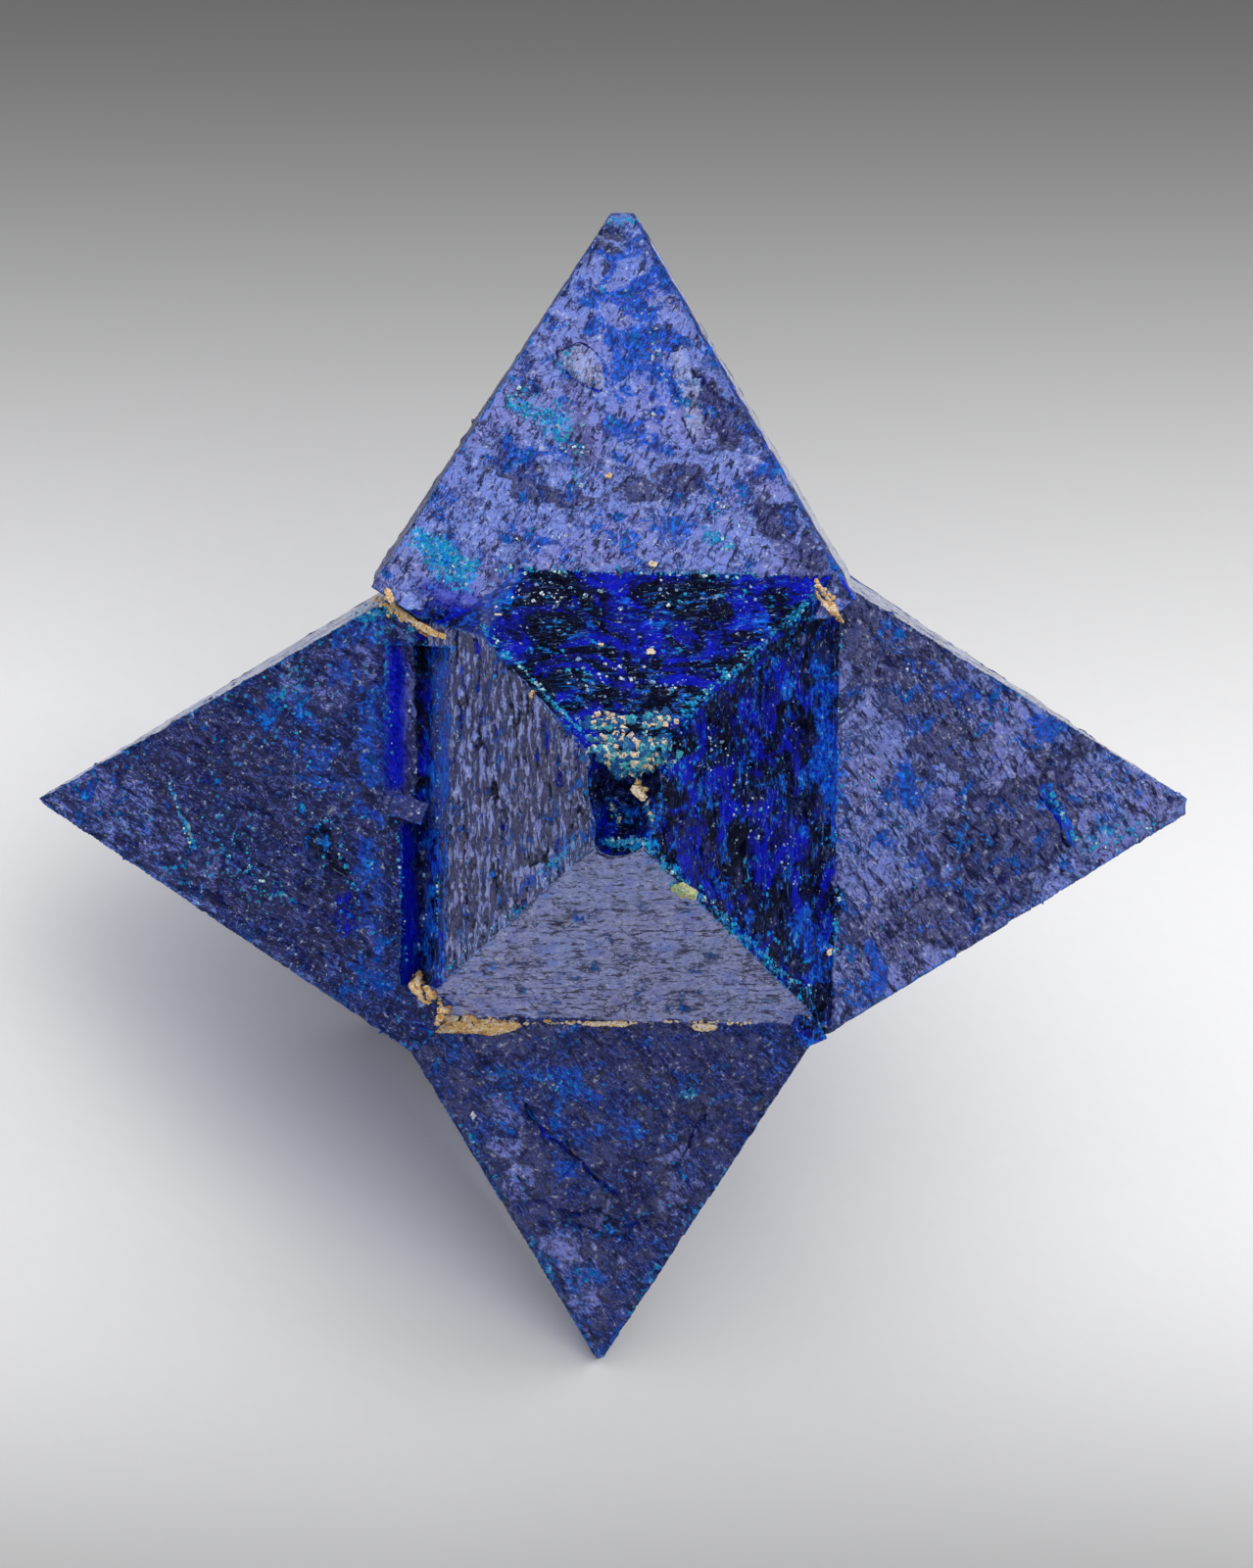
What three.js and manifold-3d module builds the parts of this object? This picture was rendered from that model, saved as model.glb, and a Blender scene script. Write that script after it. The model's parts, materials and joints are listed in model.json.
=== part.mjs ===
// Cumengeite crystal: a six-rayed star with bits of ochre matrix in its notches.
//
// Six four-sided pyramids stand on the faces of one cube. Everything is first laid out as the
// star is seen from the front, in millimetres: +X right, +Y away, +Z up. The whole specimen is
// then turned into the way it lies on a table, on its bottom ray, its back ray and the corner
// between them, with the origin under the middle of its box.

import * as THREE from "three";
import { ConvexGeometry } from "three/addons/geometries/ConvexGeometry.js";
import { mergeVertices } from "three/addons/utils/BufferGeometryUtils.js";
import Module from "manifold-3d";

// Crystal shape: height of a pyramid over the half width of its base, from the mineral's cell
const AXIS_RATIO = 1.622;

// Distance of each pyramid face from the centre of the star, mm. A face further out is a face
// that grew faster, which is why the rays differ a little in width and length.
const FACE_DISTANCE = {
  top: { front: 8.04, left: 8.04, right: 8.03, back: 7.86 },
  bottom: { front: 7.86, left: 7.72, right: 7.76, back: 7.9 },
  left: { front: 7.78, top: 7.25, bottom: 8.21, back: 7.86 },
  right: { front: 7.58, top: 7.83, bottom: 8.04, back: 8.03 },
  front: { left: 7.32, right: 7.74, top: 8.0, bottom: 7.84 },
  back: { left: 7.85, right: 7.8, top: 7.9, bottom: 7.75 },
};

// How far each ray reaches before its tip is worn or broken off flat, mm from the centre
const TIP_REACH = { top: 14.78, bottom: 14.6, left: 14.66, right: 14.78, front: 13.35, back: 14.7 };

// How far a ray runs on past the notch line at its foot, as a part of its face distance. The top
// ray stops short of the left one and ends in a plate over the front one's upper corners.
const FOOT_OVERRUN = 0.014;
const FOOT_OVERRUN_AT = {
  top: { front: 0.07, left: -0.066 },
  left: { front: 0.05, top: 0.085 },
};

// Half width of the cube that the rays stand on, a little under its real one, mm
const CUBE_HALF_WIDTH = 4.6;

// Chamfer on the top ray's tip, on the side that is knocked, mm from the centre
const TOP_TIP_CHAMFER = { direction: [0.78, -0.2, 0.6], reach: 9.12 };
const RIGHT_TIP_CHAMFER = { direction: [0.8, -0.2, 0.56], reach: 11.88 };

// Channel between the left ray and the front ray: the edge of its right wall and its bottom line,
// x and y, then the edge of its left wall and the ends of its narrow and its wide stretch
const CHANNEL_RIGHT_EDGE = [-4.16, -7.2];
const CHANNEL_BOTTOM_LINE = [-4.74, -5.0];
const CHANNEL_FRONT = -9.5;
const CHANNEL_STRETCHES = [
  { leftEdge: [-5.24, -5.9], from: -4.85, to: -0.2 },
  { leftEdge: [-5.76, -5.58], from: -0.3, to: 3.75 },
];

// Small block crystal grown across the channel
const BLOCK_SIZE = [0.8, 1.1, 0.62];
const BLOCK_PLACE = [-5.2, -5.75, -0.42];
const BLOCK_TURN_DEG = [-6, 16, 14];

// Small crystal grown on the lower right corner
const CORNER_CRYSTAL_SIZE = [0.62, 0.8, 0.85];
const CORNER_CRYSTAL_PLACE = [5.1, -5.75, -5.75];
const CORNER_CRYSTAL_TURN_DEG = [8, -20, 24];

// Glassy chamfer at the upper left foot of the front ray, three points of it
const CHAMFER_POINTS = [[-3.56, -8.42, 4.05], [-2.68, -6.8, 5.21], [-4.55, -6.75, 4.3]];

// Broken tip of the front ray: a sloping break, a rough scoop in it and a deeper pocket
const BREAK_NORMAL = [0.22, -0.95, 0.16];
const BREAK_REACH = 12.82;
const SCOOP = { place: [0.55, -13.9, 0.55], size: [1.5, 1.75, 1.5], turn: [12, 25, 30] };
const POCKET = { place: [0.28, -13.0, -0.5], size: [0.72, 1.25, 0.85], turn: [5, 40, 12] };

// Depth to which the edges that the star lies on are worn flat, mm
const WORN_FLAT_DEPTH = 0.1;

// How the star lies: it leans to its right by the first angle and back by the second
const LEAN_DEG = 26.73;
const LIE_BACK_DEG = 41.95;

// Space left between a bit of matrix and the crystal it sticks to, mm
const GLUE_GAP = 0.02;

// Crumbs of matrix: place as seen from the front, half size, height over the face
const CRUMBS = [
  { name: "crumb_top_ray_foot", at: [0.97, 5.94], size: [0.2, 0.17], color: "#d9b98c" },
  { name: "crumb_top_ray_middle", at: [-0.2, 8.13], size: [0.16, 0.15], color: "#c98a4a" },
  { name: "crumb_dark_face_left", at: [-0.33, 3.94], size: [0.15, 0.13], color: "#d8c4a0" },
  { name: "crumb_dark_face_right", at: [0.94, 3.8], size: [0.21, 0.2], color: "#d2b184" },
  { name: "crumb_upper_left_ridge", at: [-2.02, 2.74], size: [0.12, 0.16], color: "#cba878" },
  { name: "crumb_left_face_top", at: [-2.95, 4.62], size: [0.14, 0.1], color: "#cfa878" },
  { name: "crumb_right_channel", at: [5.62, -3.82], size: [0.13, 0.2], color: "#cdbf9f" },
  { name: "crumb_lower_notch", at: [-1.5, -5.67], size: [0.16, 0.1], color: "#cfa674" },
  { name: "white_flake", at: [-3.33, -8.21], size: [0.13, 0.2], color: "#d8d4e4" },
];

// Lumps of matrix bigger than a crumb: chains of rounded knots, each x, z and radius
const LUMPS = [
  {
    name: "seam_upper_left", color: "#c9a069",
    knots: [[-5.78, 5.14, 0.12], [-5.68, 4.92, 0.14], [-5.42, 4.65, 0.15], [-5.09, 4.42, 0.15],
      [-4.81, 4.24, 0.16], [-4.48, 4.1, 0.13], [-4.25, 4.04, 0.1]],
  },
  {
    name: "seam_upper_right", color: "#c8aa80",
    knots: [[5.1, 5.33, 0.09], [5.35, 5.05, 0.11], [5.6, 4.86, 0.16], [5.78, 4.6, 0.09]],
  },
  {
    name: "lump_channel", color: "#cda26a",
    knots: [[-4.76, -4.66, 0.17], [-4.84, -4.9, 0.22], [-4.7, -5.1, 0.17], [-4.48, -5.28, 0.12]],
  },
  {
    name: "lump_channel_foot", color: "#c3975c",
    knots: [[-4.22, -5.48, 0.13], [-4.05, -5.5, 0.12]],
  },
  {
    name: "seam_bottom", color: "#c99a55",
    knots: [[-4.3, -5.99, 0.13], [-3.94, -5.9, 0.25], [-3.47, -5.9, 0.23], [-3.02, -5.92, 0.23],
      [-2.58, -5.9, 0.21], [-2.2, -5.82, 0.11]],
  },
  {
    name: "seam_bottom_middle", color: "#d2b58a",
    knots: [[-0.5, -5.74, 0.11], [-0.24, -5.74, 0.12], [0.02, -5.73, 0.1], [0.28, -5.74, 0.11],
      [0.52, -5.74, 0.1]],
  },
  {
    name: "seam_bottom_right", color: "#d0b080",
    knots: [[2.28, -5.76, 0.13], [2.52, -5.77, 0.15], [2.78, -5.77, 0.12]],
  },
  {
    name: "ridge_lump", color: "#b9b277",
    knots: [[1.72, -1.98, 0.2], [1.95, -2.12, 0.22], [2.16, -2.2, 0.16]],
  },
  {
    name: "tip_druse", color: "#8fb0a8",
    knots: [[-0.42, 1.42, 0.26], [0.0, 1.3, 0.3], [0.2, 0.9, 0.28], [0.45, 1.42, 0.3],
      [0.62, 1.0, 0.3], [0.92, 1.5, 0.3], [1.02, 1.1, 0.26], [1.32, 1.6, 0.22]],
  },
  {
    name: "tip_grain", color: "#dcbf94",
    knots: [[0.66, 0.44, 0.2], [0.82, 0.28, 0.17]],
  },
];

const STAR_COLOR = "#23348c";
const STAR_ROUGHNESS = 0.35;
const MATRIX_ROUGHNESS = 0.95;

const DIRECTION = {
  left: new THREE.Vector3(-1, 0, 0),
  right: new THREE.Vector3(1, 0, 0),
  front: new THREE.Vector3(0, -1, 0),
  back: new THREE.Vector3(0, 1, 0),
  top: new THREE.Vector3(0, 0, 1),
  bottom: new THREE.Vector3(0, 0, -1),
};

const FACE_ANGLE = Math.atan(AXIS_RATIO);

const wasm = await Module();
wasm.setup();

// Turns a closed geometry into a solid that can be joined and cut
function solidOf(geometry) {
  const bare = geometry.clone();
  bare.deleteAttribute("normal");
  bare.deleteAttribute("uv");
  const merged = mergeVertices(bare, 1e-4);
  const mesh = new wasm.Mesh({
    numProp: 3,
    vertProperties: Float32Array.from(merged.attributes.position.array),
    triVerts: Uint32Array.from(merged.index.array),
  });
  return new wasm.Manifold(mesh);
}

// Turns a solid back into a geometry with flat faces
function geometryOf(solid) {
  const mesh = solid.getMesh();
  const shared = new THREE.BufferGeometry();
  shared.setAttribute("position", new THREE.BufferAttribute(mesh.vertProperties, 3));
  shared.setIndex(new THREE.BufferAttribute(mesh.triVerts, 1));
  const flat = shared.toNonIndexed();
  flat.computeVertexNormals();
  return flat;
}

// A plane that keeps the side its normal points away from
function keepBehind(normal, reach) {
  return new THREE.Plane(normal.clone().normalize(), -reach / normal.length());
}

// The convex solid behind all of the planes
function solidBehind(planes) {
  const corners = [];
  for (let i = 0; i < planes.length; i++) {
    for (let j = i + 1; j < planes.length; j++) {
      for (let k = j + 1; k < planes.length; k++) {
        const corner = meetingPoint(planes[i], planes[j], planes[k]);
        if (corner && planes.every((plane) => plane.distanceToPoint(corner) < 1e-6)) {
          corners.push(corner);
        }
      }
    }
  }
  return solidOf(new ConvexGeometry(corners));
}

// The one point on three planes, or nothing where two of them are parallel
function meetingPoint(a, b, c) {
  const bc = b.normal.clone().cross(c.normal);
  const volume = a.normal.dot(bc);
  if (Math.abs(volume) < 1e-6) {
    return null;
  }
  return bc.multiplyScalar(-a.constant)
    .addScaledVector(c.normal.clone().cross(a.normal), -b.constant)
    .addScaledVector(a.normal.clone().cross(b.normal), -c.constant)
    .divideScalar(volume);
}

// Outward normal of the face of a ray that looks to one side
function faceNormal(ray, side) {
  return new THREE.Vector3()
    .addScaledVector(DIRECTION[side], Math.sin(FACE_ANGLE))
    .addScaledVector(DIRECTION[ray], Math.cos(FACE_ANGLE));
}

// The glassy chamfer's plane, facing away from the centre of the star
function footChamfer() {
  const plane = new THREE.Plane();
  plane.setFromCoplanarPoints(...CHAMFER_POINTS.map((point) => new THREE.Vector3(...point)));
  return plane.constant > 0 ? plane.negate() : plane;
}

// One ray: four faces, a worn tip, and below them the slanting planes where it meets its neighbours
function raySolid(ray) {
  const planes = [keepBehind(DIRECTION[ray], TIP_REACH[ray])];
  for (const [side, distance] of Object.entries(FACE_DISTANCE[ray])) {
    const normal = faceNormal(ray, side);
    const neighbour = faceNormal(side, ray).divideScalar(FACE_DISTANCE[side][ray]);
    planes.push(keepBehind(normal, distance));
    const overrun = FOOT_OVERRUN_AT[ray]?.[side] ?? FOOT_OVERRUN;
    planes.push(keepBehind(normal.clone().divideScalar(distance).sub(neighbour), overrun));
  }
  if (ray === "top") {
    planes.push(keepBehind(new THREE.Vector3(...TOP_TIP_CHAMFER.direction), TOP_TIP_CHAMFER.reach));
  }
  if (ray === "right") {
    planes.push(keepBehind(new THREE.Vector3(...RIGHT_TIP_CHAMFER.direction), RIGHT_TIP_CHAMFER.reach));
  }
  if (ray === "front") {
    planes.push(footChamfer());
  }
  return solidBehind(planes);
}

// Turns a geometry by three angles in degrees and then moves it
function placed(geometry, place, turnDeg) {
  const turn = new THREE.Euler(...turnDeg.map(THREE.MathUtils.degToRad));
  const quaternion = new THREE.Quaternion().setFromEuler(turn);
  const matrix = new THREE.Matrix4().compose(new THREE.Vector3(...place), quaternion, new THREE.Vector3(1, 1, 1));
  return geometry.applyMatrix4(matrix);
}

// Steady random numbers from 0 to 1
function randomFrom(seed) {
  let state = seed;
  return () => {
    state = (state * 1664525 + 1013904223) % 4294967296;
    return state / 4294967296;
  };
}

// A rounded lump with uneven sides: the corners of an icosahedron moved in and out
function lumpGeometry(halfSize, roughness, seed, detail = 1) {
  const random = randomFrom(seed);
  const bare = new THREE.IcosahedronGeometry(1, detail);
  bare.deleteAttribute("normal");
  bare.deleteAttribute("uv");
  const lump = mergeVertices(bare, 1e-4);
  const position = lump.attributes.position;
  for (let i = 0; i < position.count; i++) {
    const reach = 1 - roughness * random();
    position.setXYZ(
      i,
      position.getX(i) * reach * halfSize[0],
      position.getY(i) * reach * halfSize[1],
      position.getZ(i) * reach * halfSize[2],
    );
  }
  return lump;
}

// One stretch of the channel along the foot of the left ray
function channelSolid({ leftEdge, from, to }) {
  const section = new THREE.Shape([
    new THREE.Vector2(...leftEdge),
    new THREE.Vector2(...CHANNEL_BOTTOM_LINE),
    new THREE.Vector2(...CHANNEL_RIGHT_EDGE),
    new THREE.Vector2(CHANNEL_RIGHT_EDGE[0], CHANNEL_FRONT),
    new THREE.Vector2(leftEdge[0], CHANNEL_FRONT),
  ]);
  const cutter = new THREE.ExtrudeGeometry(section, { depth: to - from, bevelEnabled: false });
  return solidOf(cutter.translate(0, 0, from));
}

// What is missing from the tip of the front ray
function breakageSolid() {
  const size = 8;
  const normal = new THREE.Vector3(...BREAK_NORMAL).normalize();
  const slab = new THREE.BoxGeometry(size, size, size);
  slab.translate(0, 0, size / 2 + BREAK_REACH);
  slab.applyQuaternion(new THREE.Quaternion().setFromUnitVectors(DIRECTION.top, normal));
  const scoop = placed(lumpGeometry(SCOOP.size, 0.16, 7, 2), SCOOP.place, SCOOP.turn);
  const pocket = placed(lumpGeometry(POCKET.size, 0.14, 11, 1), POCKET.place, POCKET.turn);
  return solidOf(slab).add(solidOf(scoop)).add(solidOf(pocket));
}

// Turn from the front view to the way the star lies on a table
const restTurn = new THREE.Euler(
  THREE.MathUtils.degToRad(-LIE_BACK_DEG),
  -THREE.MathUtils.degToRad(LEAN_DEG),
  0,
);

// Everything below the table, in the front view, once the star has worn into it by the flat's depth
function tableSolid(star) {
  const size = 60;
  const lying = geometryOf(star).applyQuaternion(new THREE.Quaternion().setFromEuler(restTurn));
  lying.computeBoundingBox();
  const table = new THREE.BoxGeometry(size, size, size);
  table.translate(0, 0, lying.boundingBox.min.z + WORN_FLAT_DEPTH - size / 2);
  table.applyQuaternion(new THREE.Quaternion().setFromEuler(restTurn).invert());
  return solidOf(table);
}

// The whole crystal
function starSolid() {
  const cubeWidth = 2 * CUBE_HALF_WIDTH;
  let star = solidOf(new THREE.BoxGeometry(cubeWidth, cubeWidth, cubeWidth));
  Object.keys(FACE_DISTANCE).forEach((ray) => {
    star = star.add(raySolid(ray));
  });
  CHANNEL_STRETCHES.forEach((stretch) => {
    star = star.subtract(channelSolid(stretch));
  });
  star = star.subtract(breakageSolid());
  const block = placed(new THREE.BoxGeometry(...BLOCK_SIZE), BLOCK_PLACE, BLOCK_TURN_DEG);
  const corner = placed(
    new THREE.BoxGeometry(...CORNER_CRYSTAL_SIZE), CORNER_CRYSTAL_PLACE, CORNER_CRYSTAL_TURN_DEG,
  );
  star = star.add(solidOf(block)).add(solidOf(corner));
  return star.subtract(tableSolid(star));
}

const star = starSolid();
const starGeometry = geometryOf(star);

// Where a line of sight from the front first meets the crystal, and the way its face looks there
function faceAt(x, z) {
  const target = new THREE.Mesh(starGeometry, new THREE.MeshBasicMaterial());
  const sight = new THREE.Raycaster(new THREE.Vector3(x, -30, z), DIRECTION.back);
  const hit = sight.intersectObject(target)[0];
  return { point: hit.point, normal: hit.face.normal.clone() };
}

// A bit of matrix stuck to the crystal: cut to fit the face under it, then drawn off by the gap
function stuck(solid, normal) {
  const fitted = solid.subtract(star);
  const pieces = fitted.decompose().sort((a, b) => b.volume() - a.volume());
  const offset = normal.clone().setLength(GLUE_GAP);
  return pieces[0].translate([offset.x, offset.y, offset.z]);
}

function crumbSolid({ at, size }, seed) {
  const [halfWidth, halfHeight] = size;
  const { point, normal } = faceAt(...at);
  const lump = lumpGeometry([halfWidth, halfHeight, halfWidth * 0.8], 0.35, seed);
  lump.applyQuaternion(new THREE.Quaternion().setFromUnitVectors(DIRECTION.top, normal));
  lump.translate(...point);
  return stuck(solidOf(lump), normal);
}

// The corners of a geometry as vectors
function cornersOf(geometry) {
  const position = geometry.attributes.position;
  return Array.from({ length: position.count }, (_, i) => new THREE.Vector3().fromBufferAttribute(position, i));
}

// A chain of knots, each drawn together with the next one as a cord of clay would be
function lumpSolid({ knots }, seed) {
  const outward = new THREE.Vector3();
  const balls = knots.map(([x, z, radius], index) => {
    const { point, normal } = faceAt(x, z);
    outward.add(normal);
    const ball = lumpGeometry([radius, radius, radius], 0.25, seed + index);
    return cornersOf(ball.translate(...point));
  });
  const links = balls.slice(1).map((ball, index) => solidOf(new ConvexGeometry([...balls[index], ...ball])));
  return stuck(links.reduce((whole, link) => whole.add(link)), outward);
}

const specimen = new THREE.Group();

function addPiece(name, geometry, color, roughness) {
  const material = new THREE.MeshStandardMaterial({ color, roughness, metalness: 0 });
  const mesh = new THREE.Mesh(geometry, material);
  mesh.name = name;
  specimen.add(mesh);
}

addPiece("star_crystal", starGeometry, STAR_COLOR, STAR_ROUGHNESS);
LUMPS.forEach((lump, index) => {
  addPiece(lump.name, geometryOf(lumpSolid(lump, 100 + 20 * index)), lump.color, MATRIX_ROUGHNESS);
});
CRUMBS.forEach((crumb, index) => {
  addPiece(crumb.name, geometryOf(crumbSolid(crumb, 500 + index)), crumb.color, MATRIX_ROUGHNESS);
});

// Lay the specimen down, and bring the middle of its underside to the origin
specimen.rotation.copy(restTurn);
specimen.updateMatrixWorld(true);
const box = new THREE.Box3().setFromObject(specimen, true);
const middle = box.getCenter(new THREE.Vector3());
specimen.position.set(-middle.x, -middle.y, -box.min.z);

export default specimen;
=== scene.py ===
"""Cumengeite crystal: surfaces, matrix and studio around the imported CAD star."""

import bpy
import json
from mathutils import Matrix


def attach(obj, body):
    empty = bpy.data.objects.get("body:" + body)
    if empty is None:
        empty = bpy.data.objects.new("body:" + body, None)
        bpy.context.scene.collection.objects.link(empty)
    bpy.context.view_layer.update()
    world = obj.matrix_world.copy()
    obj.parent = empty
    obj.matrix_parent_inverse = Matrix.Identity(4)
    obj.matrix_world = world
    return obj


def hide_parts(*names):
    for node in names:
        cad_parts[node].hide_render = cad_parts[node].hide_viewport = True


bl_info = {
    "name": "Cumengeite crystal",
    "version": (1, 0, 0),
    "blender": (4, 5, 0),
    "location": "3D View > Sidebar > Crystal",
    "description": "Etched, stained crystal faces, crumbly matrix and a soft studio",
    "category": "Object",
}

import json
import math
import random
from functools import partial

import bmesh
import bpy
from bpy.props import FloatProperty, FloatVectorProperty, IntProperty, PointerProperty
from mathutils import Euler, Matrix, Vector, kdtree, noise
from mathutils.bvhtree import BVHTree

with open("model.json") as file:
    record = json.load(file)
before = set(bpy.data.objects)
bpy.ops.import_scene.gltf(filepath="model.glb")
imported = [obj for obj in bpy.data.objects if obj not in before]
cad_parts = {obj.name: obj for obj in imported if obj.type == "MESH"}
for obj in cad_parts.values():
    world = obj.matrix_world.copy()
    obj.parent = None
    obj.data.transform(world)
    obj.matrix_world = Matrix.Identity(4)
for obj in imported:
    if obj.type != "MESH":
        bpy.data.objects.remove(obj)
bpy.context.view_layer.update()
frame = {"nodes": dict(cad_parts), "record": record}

MM = 0.001

# How the crystal lies: the star is turned from its front view onto its three worn flats
LIE_BACK = math.radians(-41.95)
LEAN = math.radians(-26.73)
CENTRE_MM = Vector((-0.24567, -0.23424, 9.80766))
CRYSTAL_TO_PART = (
    Matrix.Scale(MM, 4)
    @ Matrix.Translation(CENTRE_MM)
    @ Matrix.Rotation(LIE_BACK, 4, "X")
    @ Matrix.Rotation(LEAN, 4, "Y")
)
PART_TO_CRYSTAL = CRYSTAL_TO_PART.inverted()

# The camera in the crystal's own frame: x right, y away, z up, in mm
VIEW_DISTANCE = 1500
VIEW_HEIGHT = 40.1
VIEW_PITCH = math.radians(2.01)
VIEW_ROLL = math.radians(1.22)
VIEW_CENTRE = (0.4085, 0.1454)
VIEW_BACK = Vector((0, -math.cos(VIEW_PITCH), math.sin(VIEW_PITCH)))
LEVEL_RIGHT = Vector((1, 0, 0))
LEVEL_UP = VIEW_BACK.cross(LEVEL_RIGHT)
VIEW_RIGHT = LEVEL_RIGHT * math.cos(VIEW_ROLL) + LEVEL_UP * math.sin(VIEW_ROLL)
VIEW_UP = LEVEL_UP * math.cos(VIEW_ROLL) - LEVEL_RIGHT * math.sin(VIEW_ROLL)

# Every ray is a four sided pyramid whose faces lean by the axis ratio of the mineral
AXIS_RATIO = 1.622
STEEP = math.sin(math.atan(AXIS_RATIO))
SHALLOW = math.cos(math.atan(AXIS_RATIO))
DIRECTIONS = {
    "top": Vector((0, 0, 1)),
    "bottom": Vector((0, 0, -1)),
    "left": Vector((-1, 0, 0)),
    "right": Vector((1, 0, 0)),
    "front": Vector((0, -1, 0)),
    "back": Vector((0, 1, 0)),
}

# How each face is finished: crust is crumbly skin, etch is pit depth, steps are growth ledges, gloss is
# bare dark glass, grain is the turn of its striae in degrees, cobalt is blue stain and dull is violet skin.
# The last two keys are painted light: a lavender sheen painted into the colour of smooth skin, and a
# whitish highlight painted over it, both standing in for the studio's reflection in the faces
PLAIN_FINISH = dict(crust=0.45, etch=0.4, steps=0.6, gloss=0.0, grain=20, cobalt=0.3, dull=0.3, pale=0.4)
FACE_FINISH = {
    ("top", "front"): dict(
        crust=0.3, etch=0.3, steps=1.0, gloss=0.0, grain=70, cobalt=0.35, dull=0.2, pale=0.8, painted_glare=0.06),
    ("right", "front"): dict(
        crust=0.4, etch=0.4, steps=0.8, gloss=0.0, grain=40, cobalt=0.35, dull=0.05, pale=0.6, painted_glare=0.12),
    ("left", "front"): dict(
        crust=1.0, etch=0.5, steps=0.5, gloss=0.15, grain=65, cobalt=0.25, dull=0.1, pale=0.1),
    ("bottom", "front"): dict(
        crust=0.45, etch=0.3, steps=0.8, gloss=0.0, grain=-50, cobalt=0.3, dull=0.2, pale=0.0),
    ("top", "right"): dict(
        crust=0.2, etch=0.1, steps=0.5, gloss=0.0, grain=90, cobalt=0.1, dull=0.1, pale=1.0, painted_glare=1.0),
    ("right", "top"): dict(
        crust=0.3, etch=0.2, steps=1.0, gloss=0.0, grain=90, cobalt=0.25, dull=0.1, pale=1.0, painted_glare=1.0),
    ("left", "top"): dict(
        crust=0.3, etch=0.1, steps=0.5, gloss=0.0, grain=90, cobalt=0.3, dull=0.1, pale=1.0, painted_glare=0.8),
    ("front", "left"): dict(
        crust=0.3, etch=0.85, steps=0.4, gloss=0.0, grain=4, cobalt=0.3, dull=0.0, pale=1.3, painted_glare=0.22),
    ("front", "right"): dict(
        crust=0.9, etch=0.6, steps=0.5, gloss=0.6, grain=4, cobalt=0.4, dull=0.2, pale=0.0),
    ("front", "bottom"): dict(
        crust=0.15, etch=0.3, steps=0.3, gloss=0.0, grain=3, cobalt=0.15, dull=0.05, pale=1.1, painted_glare=0.3),
    ("front", "top"): dict(
        crust=0.7, etch=0.5, steps=0.9, gloss=0.9, grain=8, cobalt=0.3, dull=0.0, pale=0.0),
}
# Chamfers near the corners of the cube are glassy, other chamfers are plain, the front tip is broken
GLASSY_FINISH = dict(crust=0.15, etch=0.1, steps=0.3, gloss=0.95, grain=0, cobalt=0.5, dull=0.0, pale=0.0)
EDGE_FINISH = dict(crust=0.2, etch=0.1, steps=0.2, gloss=0.0, grain=0, cobalt=0.6, dull=0.0, pale=0.1)
BROKEN_FINISH = dict(crust=1.0, etch=0.8, steps=1.0, gloss=0.6, grain=0, cobalt=0.4, dull=0.2, pale=0.0)
BROKEN_BEYOND = 11.2
CORNER = (5.5, 4.8)
CORNER_REACH = 1.3

# Edges that bend more than this stay sharp, and their rims are chipped
CREASE = math.radians(12)

# Depths of the relief below the ideal faces, in mm
SWELL_DEPTH = 0.02
LEDGE_DEPTH = 0.07
LEDGE_LEVELS = 4
PIT_DEPTH = 0.11
CRUST_DEPTH = 0.05
CHIP_DEPTH = 0.06
PLATE_HEIGHT = 0.07
KNOB_WIDTH = 0.36
KNOB_DEPTH = 0.34

# The refractive index of cumengeite
REFRACTION = 2.04
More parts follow.
